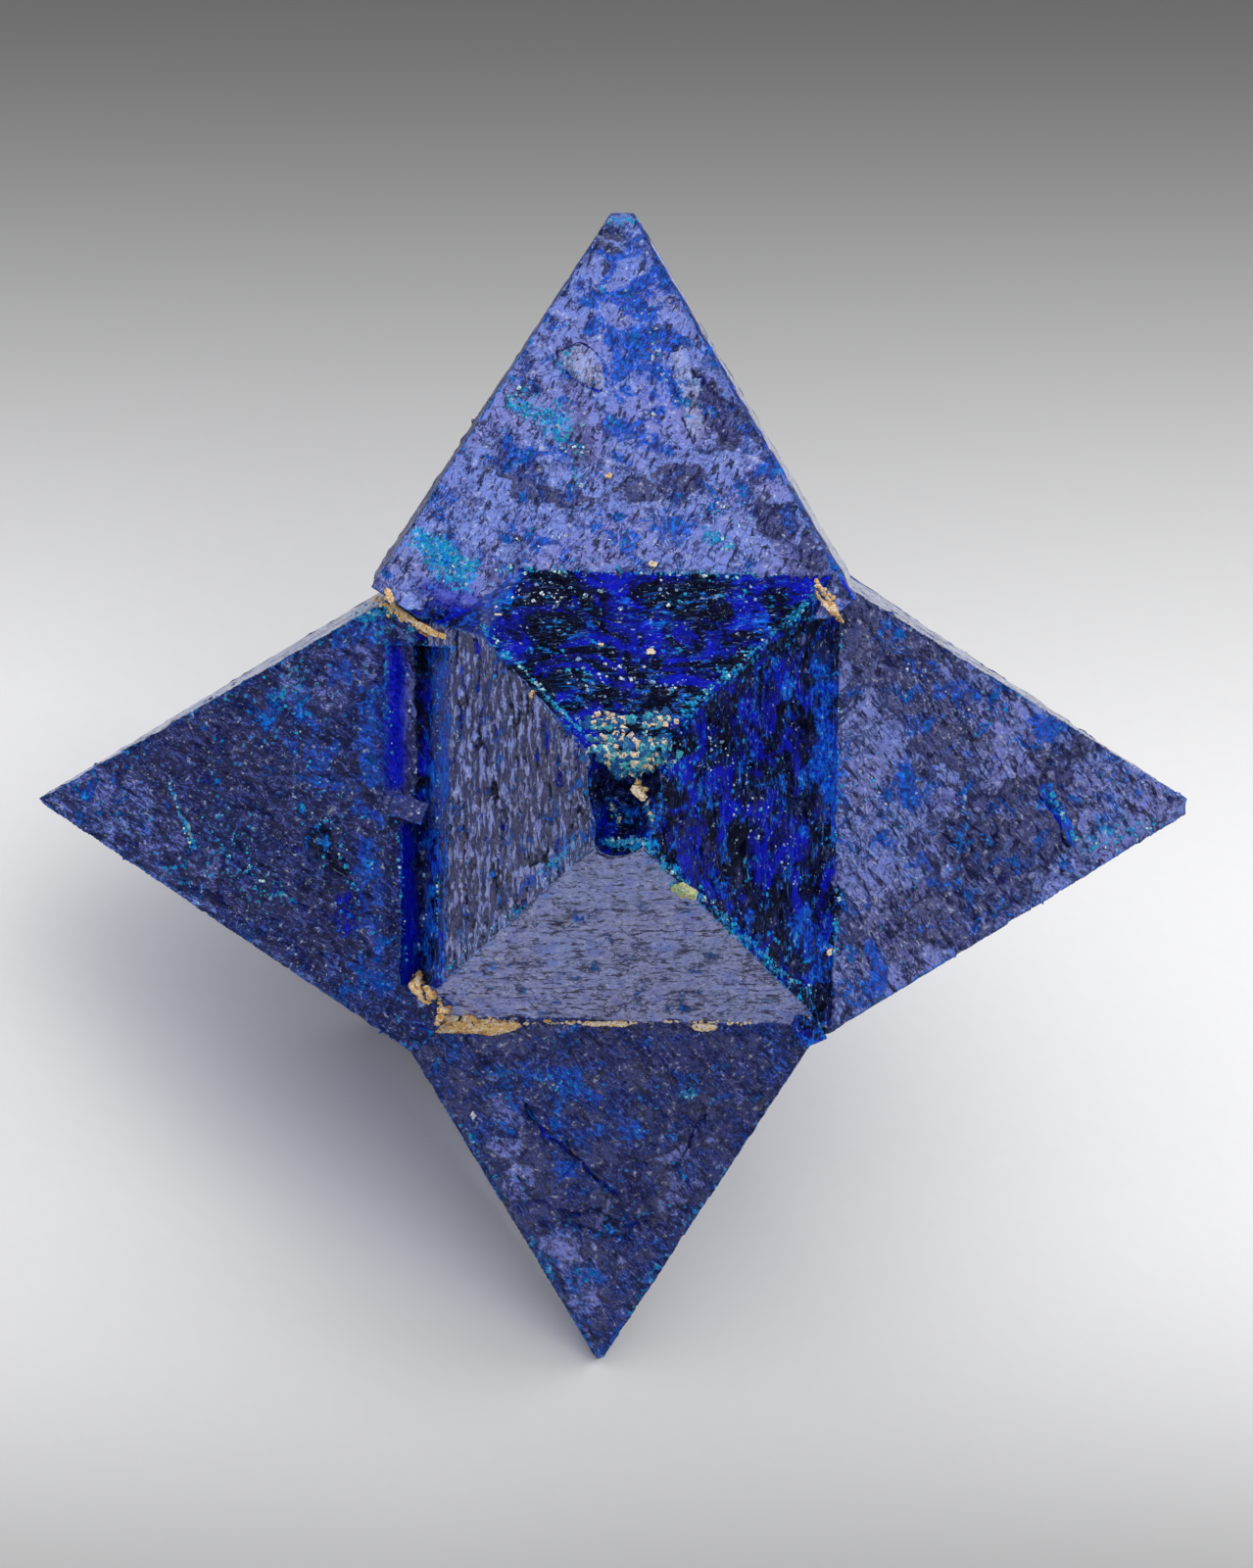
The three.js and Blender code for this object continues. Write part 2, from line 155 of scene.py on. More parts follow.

# Marks as strokes in the front view, in mm from the star's centre: start x, start z, end x, end z, radius,
# strength. Dark bares black glass, royal bares clear blue glass, pale paints a lavender sheen into smooth
# patches, standing in for the studio's reflection, and knobs are lumps of crust
STAINS_AND_SHEEN = {
    "cobalt": [
        (0.5, 12.8, 0.9, 9.8, 1.4, 0.72),
        (11.2, 0.0, 11.9, -1.3, 0.12, 1.5),
        (0.2, 13.3, 0.9, 12.5, 0.75, 0.75),
        (0.1, 11.4, 0.8, 10.3, 0.3, 0.75),
        (1.3, 11.4, 0.8, 10.3, 0.25, 0.75),
        (0.8, 10.3, 1.2, 9.2, 0.5, 0.6),
        (2.4, 9.6, 4.0, 8.0, 0.5, 0.5),
        (-1.6, 6.2, 1.8, 6.6, 0.6, 0.55),
        (-2.6, 8.8, -1.2, 8.5, 0.35, 0.6),
        (-6.1, 2.8, -6.3, -4.4, 0.45, 0.7),
        (-6.9, 3.2, -6.2, 4.2, 0.5, 0.9),
        (-8.4, 2.2, -7.2, 0.4, 0.7, 0.6),
        (-7.0, -4.6, -5.8, -5.2, 0.5, 0.5),
        (10.8, 1.8, 11.3, 1.5, 0.28, 0.95),
        (6.7, -4.0, 6.9, -5.1, 0.3, 0.9),
        (7.5, 0.6, 7.7, -0.3, 0.3, 0.8),
        (7.0, -1.2, 8.2, -2.2, 0.35, 0.6),
        (8.0, 3.0, 9.4, 2.3, 0.5, 0.6),
        (-2.1, -7.2, -0.3, -7.7, 0.35, 0.75),
        (0.3, -8.8, 0.6, -8.7, 0.25, 0.8),
        (-1.8, -9.6, -1.3, -9.9, 0.45, 0.75),
        (-0.6, -8.6, -2.4, -8.2, 0.5, 0.5),
        (5.4, 3.6, 5.6, -0.6, 0.32, 0.95),
        (4.9, -3.4, 5.5, -4.6, 0.4, 0.9),
        (2.6, -2.6, 3.6, -3.4, 0.5, 0.6),
        (-2.4, -2.6, -1.2, -1.6, 0.25, 0.7),
        (2.3, 3.4, 4.0, 4.4, 0.5, 0.5),
    ],
    "turquoise": [
        (-2.5, 10.0, -1.2, 9.3, 0.4, 0.75),
        (-1.0, 9.0, -0.8, 8.0, 0.2, 0.5),
        (-4.9, 6.4, -3.7, 5.5, 0.42, 0.85),
        (2.5, 6.5, 2.9, 6.3, 0.2, 0.9),
        (-6.6, 4.5, -5.5, 4.6, 0.3, 0.8),
        (-6.4, 4.2, -5.3, 4.0, 0.45, 0.45),
        (-1.3, 11.3, -0.4, 10.3, 0.35, 0.4),
        (2.2, 10.2, 2.3, 9.1, 0.2, 0.5),
        (3.7, -1.9, 5.0, -4.6, 0.4, 0.35),
        (-9.8, -1.2, -8.8, -2.6, 0.9, 0.42),
        (-8.4, 2.4, -8.0, 2.9, 0.3, 0.5),
        (-9.8, 2.3, -9.6, 2.0, 0.2, 0.6),
        (-11.3, 0.2, -10.7, -1.5, 0.06, 1.0),
        (12.2, -1.4, 13.6, -1.0, 0.3, 0.55),
        (11.2, 0.0, 11.9, -1.3, 0.06, 0.7),
        (1.9, -7.8, 2.2, -7.8, 0.2, 0.7),
        (-1.9, -7.3, -1.5, -7.5, 0.2, 0.5),
        (-3.9, -8.4, -1.4, -12.6, 0.15, 0.5),
        (0.6, -13.4, 3.2, -9.4, 0.15, 0.5),
        (0.9, -1.5, 4.9, -5.2, 0.25, 0.6),
        (1.7, 1.8, 5.2, 4.9, 0.22, 0.55),
        (-3.3, 4.2, -0.6, 1.3, 0.1, 0.6),
        (-4.4, -4.8, -0.6, -1.5, 0.08, 0.5),
        (-1.7, -2.0, -0.9, -1.4, 0.15, 0.7),
        (-0.2, -1.3, 1.1, -1.4, 0.15, 0.8),
        (-0.2, 14.6, 0.6, 14.6, 0.1, 0.8),
    ],
    "pale": [
        (-0.6, 13.6, -4.9, 6.2, 0.45, 1.0),
        (-4.0, 6.2, 4.4, 6.3, 0.7, 0.9),
        (-2.0, 8.4, 0.6, 7.2, 0.8, 0.8),
        (-14.0, -0.3, -11.6, -0.6, 0.7, 0.9),
        (-13.0, -1.6, -7.4, -5.3, 0.35, 0.9),
        (6.2, 0.6, 6.9, -3.6, 0.75, 1.0),
        (7.0, 3.6, 11.6, 1.2, 0.35, 0.9),
        (12.4, -0.3, 14.2, -0.7, 0.6, 1.0),
        (8.2, -4.6, 11.4, -2.8, 0.35, 0.7),
        (-3.2, -7.4, -0.6, -13.4, 0.5, 0.5),
        (0.2, -11.6, 0.0, -14.0, 0.9, 0.3),
        (1.4, -10.6, 3.6, -7.6, 0.5, 0.3),
    ],
    "dull": [
        (2.2, 10.2, 3.0, 9.2, 0.5, 0.7),
        (3.6, 7.6, 4.8, 6.2, 0.6, 0.6),
        (-3.0, 8.8, -2.2, 8.4, 0.4, 0.6),
        (0.6, 7.6, 2.0, 8.0, 0.7, 0.4),
        (-10.6, 0.8, -6.8, -0.8, 1.4, 0.9),
        (-9.0, -2.4, -7.0, -4.0, 0.8, 0.8),
        (9.0, 1.8, 7.0, 3.4, 0.7, 0.9),
        (9.4, -1.2, 11.2, -0.2, 0.9, 0.8),
        (6.8, -3.8, 9.8, -2.8, 0.7, 0.7),
        (-3.0, -6.9, 3.6, -6.9, 0.35, 0.8),
        (0.2, -9.6, 1.8, -11.2, 0.6, 0.7),
        (-1.0, -10.8, 1.2, -11.2, 0.3, 0.8),
    ],
    "dark": [
        (2.6, 1.0, 4.4, 1.6, 1.0, 1.0),
        (3.2, -1.0, 5.0, -2.6, 0.8, 1.0),
        (-1.0, 3.9, 2.4, 3.9, 1.0, 0.9),
        (-2.3, -9.0, -1.4, -10.2, 0.3, 0.35),
        (-1.9, -10.7, 0.8, -11.3, 0.25, 0.3),
        (-7.4, -1.2, -6.6, -3.4, 0.4, 0.5),
        (-4.8, 3.8, -4.75, -0.2, 0.16, 1.0),
        (-4.55, -1.2, -4.5, -4.6, 0.18, 1.0),
        (-4.4, 4.6, -3.6, 4.4, 0.3, 0.9),
    ],
    "royal": [
        (-5.5, 3.5, -5.5, 0.2, 0.3, 1.0),
        (-5.2, -1.1, -5.1, -4.8, 0.2, 1.0),
        (-4.7, 5.2, -3.6, 4.9, 0.3, 0.7),
    ],
    "knobs": [
        (9.3, -1.0, 10.2, -3.0, 0.9, 1.0),
        (10.6, -2.0, 11.6, -2.4, 0.7, 0.9),
        (11.2, 0.8, 11.8, 0.2, 0.5, 0.8),
        (8.8, -0.4, 9.4, -1.6, 0.5, 0.8),
    ],
}

# Thin growth plates that stand up from the skin: outlines in the front view, in mm
PLATES = [
    [(-1.28, 11.22), (-0.82, 11.45), (-0.36, 11.22), (-0.13, 10.5), (-0.29, 10.3), (-0.76, 10.5),
     (-1.16, 10.83)],
    [(1.6, 11.22), (1.97, 11.36), (2.1, 10.57), (2.29, 10.55), (2.22, 10.17), (2.15, 9.91), (2.48, 9.38),
     (2.41, 9.05), (2.15, 9.01), (1.88, 9.64), (1.69, 10.3)],
    [(-0.6, 12.9), (-0.2, 13.05), (0.0, 12.9), (-0.2, 12.75)],
]

# Plates and cracks reach less than this from their first point, in mm
NEARBY = 3.5

# Cracks and scratches: half width, depth, then points in the front view, in mm
GROOVES = [
    (0.05, 0.10, [(-2.2, -8.1), (-1.7, -8.9), (-0.9, -9.4), (-0.4, -10.0), (0.1, -10.4)]),
    (0.04, 0.07, [(-1.9, -10.6), (-1.1, -10.9), (-0.4, -10.8), (0.4, -11.2), (0.9, -11.1)]),
    (0.04, 0.06, [(-1.2, -11.1), (-0.3, -11.4), (0.6, -11.6)]),
    (0.05, 0.08, [(2.4, -8.4), (2.0, -9.0), (1.8, -9.8), (2.1, -10.3)]),
    (0.04, 0.05, [(-4.17, -5.41), (-2.99, -4.54)]),
    (0.03, 0.03, [(-2.84, 8.54), (-2.3, 8.1), (-1.88, 7.79)]),
    (0.04, 0.06, [(0.0, 11.6), (0.5, 10.9), (0.8, 10.2), (1.2, 10.8), (1.5, 11.5)]),
    (0.05, 0.10, [(11.05, -0.15), (11.38, -0.6), (11.58, -1.1), (11.8, -1.48)]),
    (0.04, 0.06, [(8.9, 3.0), (9.8, 2.2), (10.6, 1.2), (11.0, 0.4)]),
    (0.05, 0.09, [(-0.95, -3.35), (-0.8, -3.4), (-0.7, -3.38)]),
    (0.05, 0.09, [(-3.9, 3.2), (-3.8, 2.2), (-3.9, 1.4)]),
    (0.05, 0.09, [(-3.3, 2.3), (-3.4, 1.5), (-3.2, 0.6)]),
    (0.05, 0.08, [(-3.0, 0.2), (-2.8, -0.8), (-2.9, -1.8)]),
    (0.035, 0.05, [(0.67, 7.36), (0.22, 8.02), (0.72, 8.87), (1.12, 9.04), (1.22, 8.47), (1.92, 7.66)]),
    (0.04, 0.07, [(-2.4, -8.4), (-2.0, -8.2), (-1.5, -8.5), (-1.2, -9.0), (-0.9, -9.6), (-1.2, -9.9)]),
    (0.04, 0.05, [(-2.4, 10.9), (-1.9, 11.3), (-1.6, 12.0), (-1.2, 12.4)]),
    (0.04, 0.05, [(3.0, 6.9), (2.8, 6.2), (3.2, 5.9)]),
    (0.04, 0.06, [(2.3, 11.4), (2.9, 10.4), (3.3, 9.4)]),
]


def seen_at(point):
    """Where a point of the crystal shows in the front view, in mm from the star's centre."""
    nearer = VIEW_DISTANCE / (VIEW_DISTANCE - point.dot(VIEW_BACK))
    return nearer * point.dot(VIEW_RIGHT), nearer * point.dot(VIEW_UP)


def hex_linear(code):
    """A colour written as sRGB hex, turned to the linear values a shader takes."""
    parts = [int(code[i : i + 2], 16) / 255 for i in (1, 3, 5)]
    return tuple(c / 12.92 if c <= 0.04045 else ((c + 0.055) / 1.055) ** 2.4 for c in parts) + (1.0,)


def smooth(low, high, value):
    """A soft step from 0 at low to 1 at high."""
    t = min(max((value - low) / (high - low), 0.0), 1.0)
    return t * t * (3 - 2 * t)


# Nodes used often: node type, its sockets in order, its settings and the output wanted
KINDS = {
    "noise": ("ShaderNodeTexNoise", ("Vector", "Scale", "Detail", "Roughness", "Distortion"), {}, 0),
    "cells": ("ShaderNodeTexVoronoi", ("Vector", "Scale"), {}, "Color"),
    "ramp": ("ShaderNodeMapRange", (0, 1, 2, 3, 4), {"interpolation_type": "SMOOTHSTEP"}, 0),
    "mix": ("ShaderNodeMix", (0, 6, 7), {"data_type": "RGBA"}, 2),
    "bump": ("ShaderNodeBump", ("Height", "Strength", "Distance"), {}, 0),
    "add": ("ShaderNodeMath", (0, 1), {"operation": "ADD"}, 0),
    "subtract": ("ShaderNodeMath", (0, 1), {"operation": "SUBTRACT"}, 0),
    "multiply": ("ShaderNodeMath", (0, 1), {"operation": "MULTIPLY"}, 0),
    "greater": ("ShaderNodeMath", (0, 1), {"operation": "MAXIMUM"}, 0),
    "zigzag": ("ShaderNodeMath", (0, 1), {"operation": "PINGPONG"}, 0),
    "stairs": ("ShaderNodeMath", (0, 1), {"operation": "SNAP"}, 0),
}


def node(tree, kind, *values, out=None, **settings):
    """Adds a shader node with its values, links and settings, and gives back one output."""
    kind, sockets, usual, wanted = KINDS.get(kind, (kind, range(len(values)), {}, 0))
    made = tree.nodes.new(kind)
    for name, value in {**usual, **settings}.items():
        setattr(made, name, value)
    for socket, value in zip(sockets, values):
        if isinstance(value, bpy.types.NodeSocket):
            tree.links.new(value, made.inputs[socket])
        else:
            made.inputs[socket].default_value = value
    return made.outputs[wanted if out is None else out]


def swatch(name, description, code):
    """A colour setting that starts from an sRGB hex value."""
    return FloatVectorProperty(
        name=name, description=description, subtype="COLOR", size=4, default=hex_linear(code))


class CrystalSettings(bpy.types.PropertyGroup):
    """Sizes and colours of the crystal."""

    front_edge: FloatProperty(
        name="Front detail", description="Longest mesh edge on the faces seen from the front, in mm",
        default=0.17, min=0.05)
    side_edge: FloatProperty(
        name="Side detail", description="Longest mesh edge on the faces seen edge on, in mm",
        default=0.32, min=0.05)
    back_edge: FloatProperty(
        name="Back detail", description="Longest mesh edge on the faces behind, in mm",
        default=0.4, min=0.05)
    detail_edge: FloatProperty(
        name="Outline detail", description="Longest mesh edge beside plates and cracks, in mm",
        default=0.07, min=0.03)
    seed: IntProperty(name="Seed", description="Starts every random choice", default=7)
    # Lavender and mauve are a sheen painted into the colour of smooth skin, standing in for the studio's
    # reflection; the whitish colour after them is a painted highlight
    lavender: swatch("Lavender", "Smooth waxy skin", "#6c88ec")
    mauve: swatch("Mauve", "Pinker parts of the waxy skin", "#7480de")
    painted_glare: swatch("Bloom", "Whitish lavender bloom on plates and on the side faces", "#f0f2ff")
    navy: swatch("Navy", "Lines in ledges and striae", "#081050")
    ultramarine: swatch("Ultramarine", "Deep part of the cobalt stain", "#0634d0")
    # The next colour serves for painted glints on the skin, and for pale grains in the crust and pale fibres
    # in the glass
    pale_grain_and_glint: swatch("Fleck", "Pale chips that catch the light", "#a8c8f0")
    slate: swatch("Slate", "Body colour of the skinned faces", "#122a84")
    indigo: swatch("Indigo", "Lighter blotches of the skin", "#2846b4")
    verdigris: swatch("Verdigris", "Greener parts of the crust", "#28bed2")
    violet: swatch("Violet", "Brownish violet mottling of the skin", "#40448c")
    glass: swatch("Glass", "Bare, nearly black ultramarine", "#010224")
    royal: swatch("Royal", "Bare ultramarine where light comes through", "#0214cc")
    cobalt: swatch("Cobalt", "Cobalt stain", "#0a70ff")
    azure: swatch("Azure", "Lighter blue of chipped rims", "#0a8cff")
    turquoise: swatch("Turquoise", "Fine grained turquoise crust", "#14b4e6")
    ochre: swatch("Ochre", "Clayey matrix", "#e4bc78")
    cream: swatch("Cream", "Pale grains of the matrix", "#f0dcc0")


class StageSettings(bpy.types.PropertyGroup):
    """Studio floor and light."""

    floor: swatch("Floor", "Colour of the paper floor", "#f6f6f6")
    # Painted shade: the paper is darker far behind and in front, standing in for the fall of the studio light
    floor_shaded_far: swatch("Floor behind", "Colour of the paper far behind", "#5c5c5c")
    floor_shaded_near: swatch("Floor before", "Colour of the paper in front", "#8c8c8c")
    overhead: FloatProperty(
        name="Overhead light", description="Power of the large softbox", default=0.54, unit="POWER")
    fill: FloatProperty(
        name="Front fill", description="Power of the softbox in front", default=0.14, unit="POWER")
    rim: FloatProperty(
        name="Rim light", description="Power of the softbox behind", default=0.42, unit="POWER")
    ambient: FloatProperty(name="Ambient", description="Strength of the room's own light", default=0.61)


def worked_copy(name):
    """A merged copy of a CAD node, in the crystal's own frame and in mm."""
    bm = bmesh.new()
    bm.from_mesh(frame["nodes"][name].data)
    bm.transform(PART_TO_CRYSTAL)
    bmesh.ops.remove_doubles(bm, verts=bm.verts, dist=0.0004)
    return bm


def refined(bm, longest, rounds=10):
    """Halves every edge that is longer than longest(edge) says, and keeps flat areas evenly meshed."""
    for _ in range(rounds):
        long_edges = [e for e in bm.edges if e.calc_length() > longest(e)]
        if not long_edges:
            break
        bmesh.ops.subdivide_edges(bm, edges=long_edges, cuts=1)
        bmesh.ops.triangulate(bm, faces=bm.faces[:])
        flat = [e for e in bm.edges if e.calc_face_angle(1.0) < 0.01]
        bmesh.ops.beautify_fill(bm, faces=bm.faces[:], edges=flat, method="ANGLE")
    return bm


def tree_of(points):
    """A search tree of points."""
    tree = kdtree.KDTree(len(points))
    for index, point in enumerate(points):
        tree.insert(point, index)
    tree.balance()
    return tree


def finished_piece(name, bm, material, slot, *nodes):
    """Turns a worked mesh into a piece in the part's frame that stands for CAD nodes."""
    bm.transform(CRYSTAL_TO_PART)
    bm.normal_update()
    mesh = bpy.data.meshes.new(name)
    bm.to_mesh(mesh)
    bm.free()
    mesh.materials.append(material)
    piece = bpy.data.objects.new(name, mesh)
    bpy.context.scene.collection.objects.link(piece)
    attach(piece, "root")
    if nodes:
        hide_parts(*nodes)
    return piece


def face_axes(ray, side):
    """Normal, along and up directions of one crystal face."""
    out, across = DIRECTIONS[ray], DIRECTIONS[side]
    return STEEP * across + SHALLOW * out, out.cross(across), STEEP * out - SHALLOW * across


FACES = [
    (ray, side, *face_axes(ray, side))
    for ray in DIRECTIONS
    for side in DIRECTIONS
    if abs(DIRECTIONS[ray].dot(DIRECTIONS[side])) < 0.5
]


def face_of(normal, place):
    """Which crystal face a polygon belongs to, with its finish and directions."""
    index = max(range(len(FACES)), key=lambda i: FACES[i][2].dot(normal))
    ray, side, up, along, across = FACES[index]
    if up.dot(normal) < 0.995:
        corner = max(abs(abs(place.x) - CORNER[0]), abs(abs(place.z) - CORNER[1])) < CORNER_REACH
        finish = GLASSY_FINISH if corner else EDGE_FINISH
        if -place.y > BROKEN_BEYOND:
            finish = BROKEN_FINISH
    else:
        finish = FACE_FINISH.get((ray, side), PLAIN_FINISH)
    return index, finish, along, across


def from_segment(x, z, start, end):
    """Distance of a place in the front view from a straight line between two points."""
    dx, dz = end[0] - start[0], end[1] - start[1]
    t = min(max(((x - start[0]) * dx + (z - start[1]) * dz) / (dx * dx + dz * dz), 0), 1)
    return math.hypot(x - start[0] - t * dx, z - start[1] - t * dz)


def stain_at(kind, x, z):
    """How strongly the listed strokes of one mark cover a place in the front view."""
    most = 0.0
    for ax, az, bx, bz, radius, strength in STAINS_AND_SHEEN[kind]:
        reach = 2.0 * radius
        if min(ax, bx) - reach < x < max(ax, bx) + reach and min(az, bz) - reach < z < max(az, bz) + reach:
            away = from_segment(x, z, (ax, az), (bx, bz))
            most = max(most, strength * smooth(reach, 0.2 * radius, away))
    return most


def wandered(x, z):
    """A place in the front view, shifted a little so that drawn lines come out ragged."""
    slow = noise.noise_vector(Vector((x / 0.5, z / 0.5, 0)))
    quick = noise.noise_vector(Vector((x / 0.16, z / 0.16, 4)))
    return x + 0.11 * slow.x + 0.05 * quick.x, z + 0.11 * slow.y + 0.05 * quick.y


def inside_outline(x, z, outline):
    """Distance in mm to a plate's outline in the front view, above 0 inside it."""
    inside = False
    nearest = 9.0
    for start, end in zip(outline, outline[1:] + outline[:1]):
        nearest = min(nearest, from_segment(x, z, start, end))
        if (start[1] > z) != (end[1] > z):
            crossing = start[0] + (z - start[1]) * (end[0] - start[0]) / (end[1] - start[1])
            inside ^= x < crossing
    return nearest if inside else -nearest


def plate_at(x, z):
    """The largest inward distance over all plates, in mm, for a place in the front view."""
    best = -9.0
    for outline in PLATES:
        if abs(x - outline[0][0]) < NEARBY and abs(z - outline[0][1]) < NEARBY:
            best = max(best, inside_outline(x, z, outline))
    return best


def groove_at(x, z):
    """Depth in mm of the cracks at a place in the front view."""
    deepest = 0.0
    for half, depth, points in GROOVES:
        if abs(x - points[0][0]) > NEARBY or abs(z - points[0][1]) > NEARBY:
            continue
        for start, end in zip(points, points[1:]):
            deepest = max(deepest, depth * smooth(2 * half, 0.0, from_segment(x, z, start, end)))
    return deepest


def relief(point, u, v, layer, finish, ridge, shown, knobs):
    """How deep the skin lies below the ideal face, in mm, how much painted shade its colour takes in pits,
    cracks, knob hollows and along plate outlines, and how much painted highlight on knob crowns.
    u and v run along and across the striae; ridge is the distance to the nearest sharp edge."""
    swell = SWELL_DEPTH * (0.5 + 0.5 * noise.noise(point / 2.6))
    broad = noise.fractal(point / 1.3 + Vector((3.1, 0, layer)), 0.8, 2.1, 4)
    terrace = broad * LEDGE_LEVELS
    step = (math.floor(terrace) + smooth(0.42, 0.58, terrace - math.floor(terrace))) / LEDGE_LEVELS
    ledges = LEDGE_DEPTH * finish["steps"] * min(max(0.5 + 0.5 * step, 0), 1)
    etched = noise.fractal(Vector((u / 0.8, v / 0.22, layer * 7.3)), 0.7, 2.2, 3)
    pit = smooth(0.25, 0.5, etched) * finish["etch"]
    crumb = finish["crust"] * CRUST_DEPTH * (0.5 + 0.5 * noise.fractal(point / 0.3, 0.7, 2.2, 3))
    chip_noise = noise.fractal(point / 0.4 + Vector((9, 0, 0)), 0.7, 2.1, 3)
    chips = CHIP_DEPTH * smooth(0.25, 0.02, ridge) * max(chip_noise + 0.15, 0)
    depth = swell + ledges + PIT_DEPTH * pit + crumb + chips
    # Painted shade: the skin's colour darkens in pits, and below also in cracks, along plate outlines and in
    # knob hollows
    dark = pit
    knob_highlight = 0.0
    if shown:
        x, z = wandered(*seen_at(point))
        plate = plate_at(x, z)
        depth += PLATE_HEIGHT * smooth(0.03, -0.03, plate) * smooth(-0.7, -0.1, plate)
        groove = groove_at(x, z)
        depth += groove
        # Painted shade in the cracks and along the plate outlines, broken by noise
        outline_shade_share = smooth(-0.15, 0.25, noise.noise(point / 0.5))
        dark = max(pit, groove * 8, outline_shade_share * smooth(0.05, 0.0, abs(plate + 0.04)))
        if knobs:
            hollow = noise.voronoi(point / KNOB_WIDTH)[0][0]
            knobs *= smooth(0.0, 0.3, ridge)
            depth += KNOB_DEPTH * knobs * hollow
            # Painted shade in the knob hollows and a painted highlight on their crowns
            dark = max(dark, 0.5 * knobs * smooth(0.5, 0.7, hollow))
            knob_highlight = knobs * smooth(0.5, 0.2, hollow)
    return depth, dark, knob_highlight


def near_detail(x, z):
    """True beside a plate's outline, on a crack or on knobs, where the mesh has to be fine."""
    return abs(plate_at(x, z)) < 0.12 or groove_at(x, z) > 0.001 or stain_at("knobs", x, z) > 0.4


def ray_block(ray):
    """One ray of the star as a closed mesh, cut from the CAD star along the planes of its notches."""
    bm = worked_copy("star_crystal")
    out = DIRECTIONS[ray]
    for side in (d for d in DIRECTIONS.values() if abs(d.dot(out)) < 0.5):
        geometry = bm.verts[:] + bm.edges[:] + bm.faces[:]
        cut = bmesh.ops.bisect_plane(
            bm, geom=geometry, dist=0.0002, plane_co=(0, 0, 0), plane_no=side - out, clear_outer=True)
        rim = [e for e in cut["geom_cut"] if isinstance(e, bmesh.types.BMEdge) and e.is_boundary]
        bmesh.ops.triangle_fill(bm, edges=rim, use_beauty=True)
    bmesh.ops.recalc_face_normals(bm, faces=bm.faces)
    return bm


def is_cut(polygon):
    """True for a polygon that lies inside the star, on a plane through its centre."""
    return abs(polygon.normal.dot(polygon.calc_center_median())) < 0.05


def mesh_the_ray(ray, settings):
    """A ray's mesh, refined most where it is seen most."""
    coarse = 1.0
    sizes = (settings.front_edge, settings.side_edge, settings.back_edge, settings.detail_edge)
    edges = [size * coarse for size in sizes]

    def longest(edge):
        first = edge.link_faces[0]
        facing = first.normal.dot(VIEW_BACK)
        if is_cut(first) and is_cut(edge.link_faces[-1]):
            return 4.0
        if facing > 0.25:
            return edges[3] if near_detail(*seen_at(edge.verts[0].co)) else edges[0]
        return edges[1] if facing > -0.3 else edges[2]

    return refined(ray_block(ray), longest)


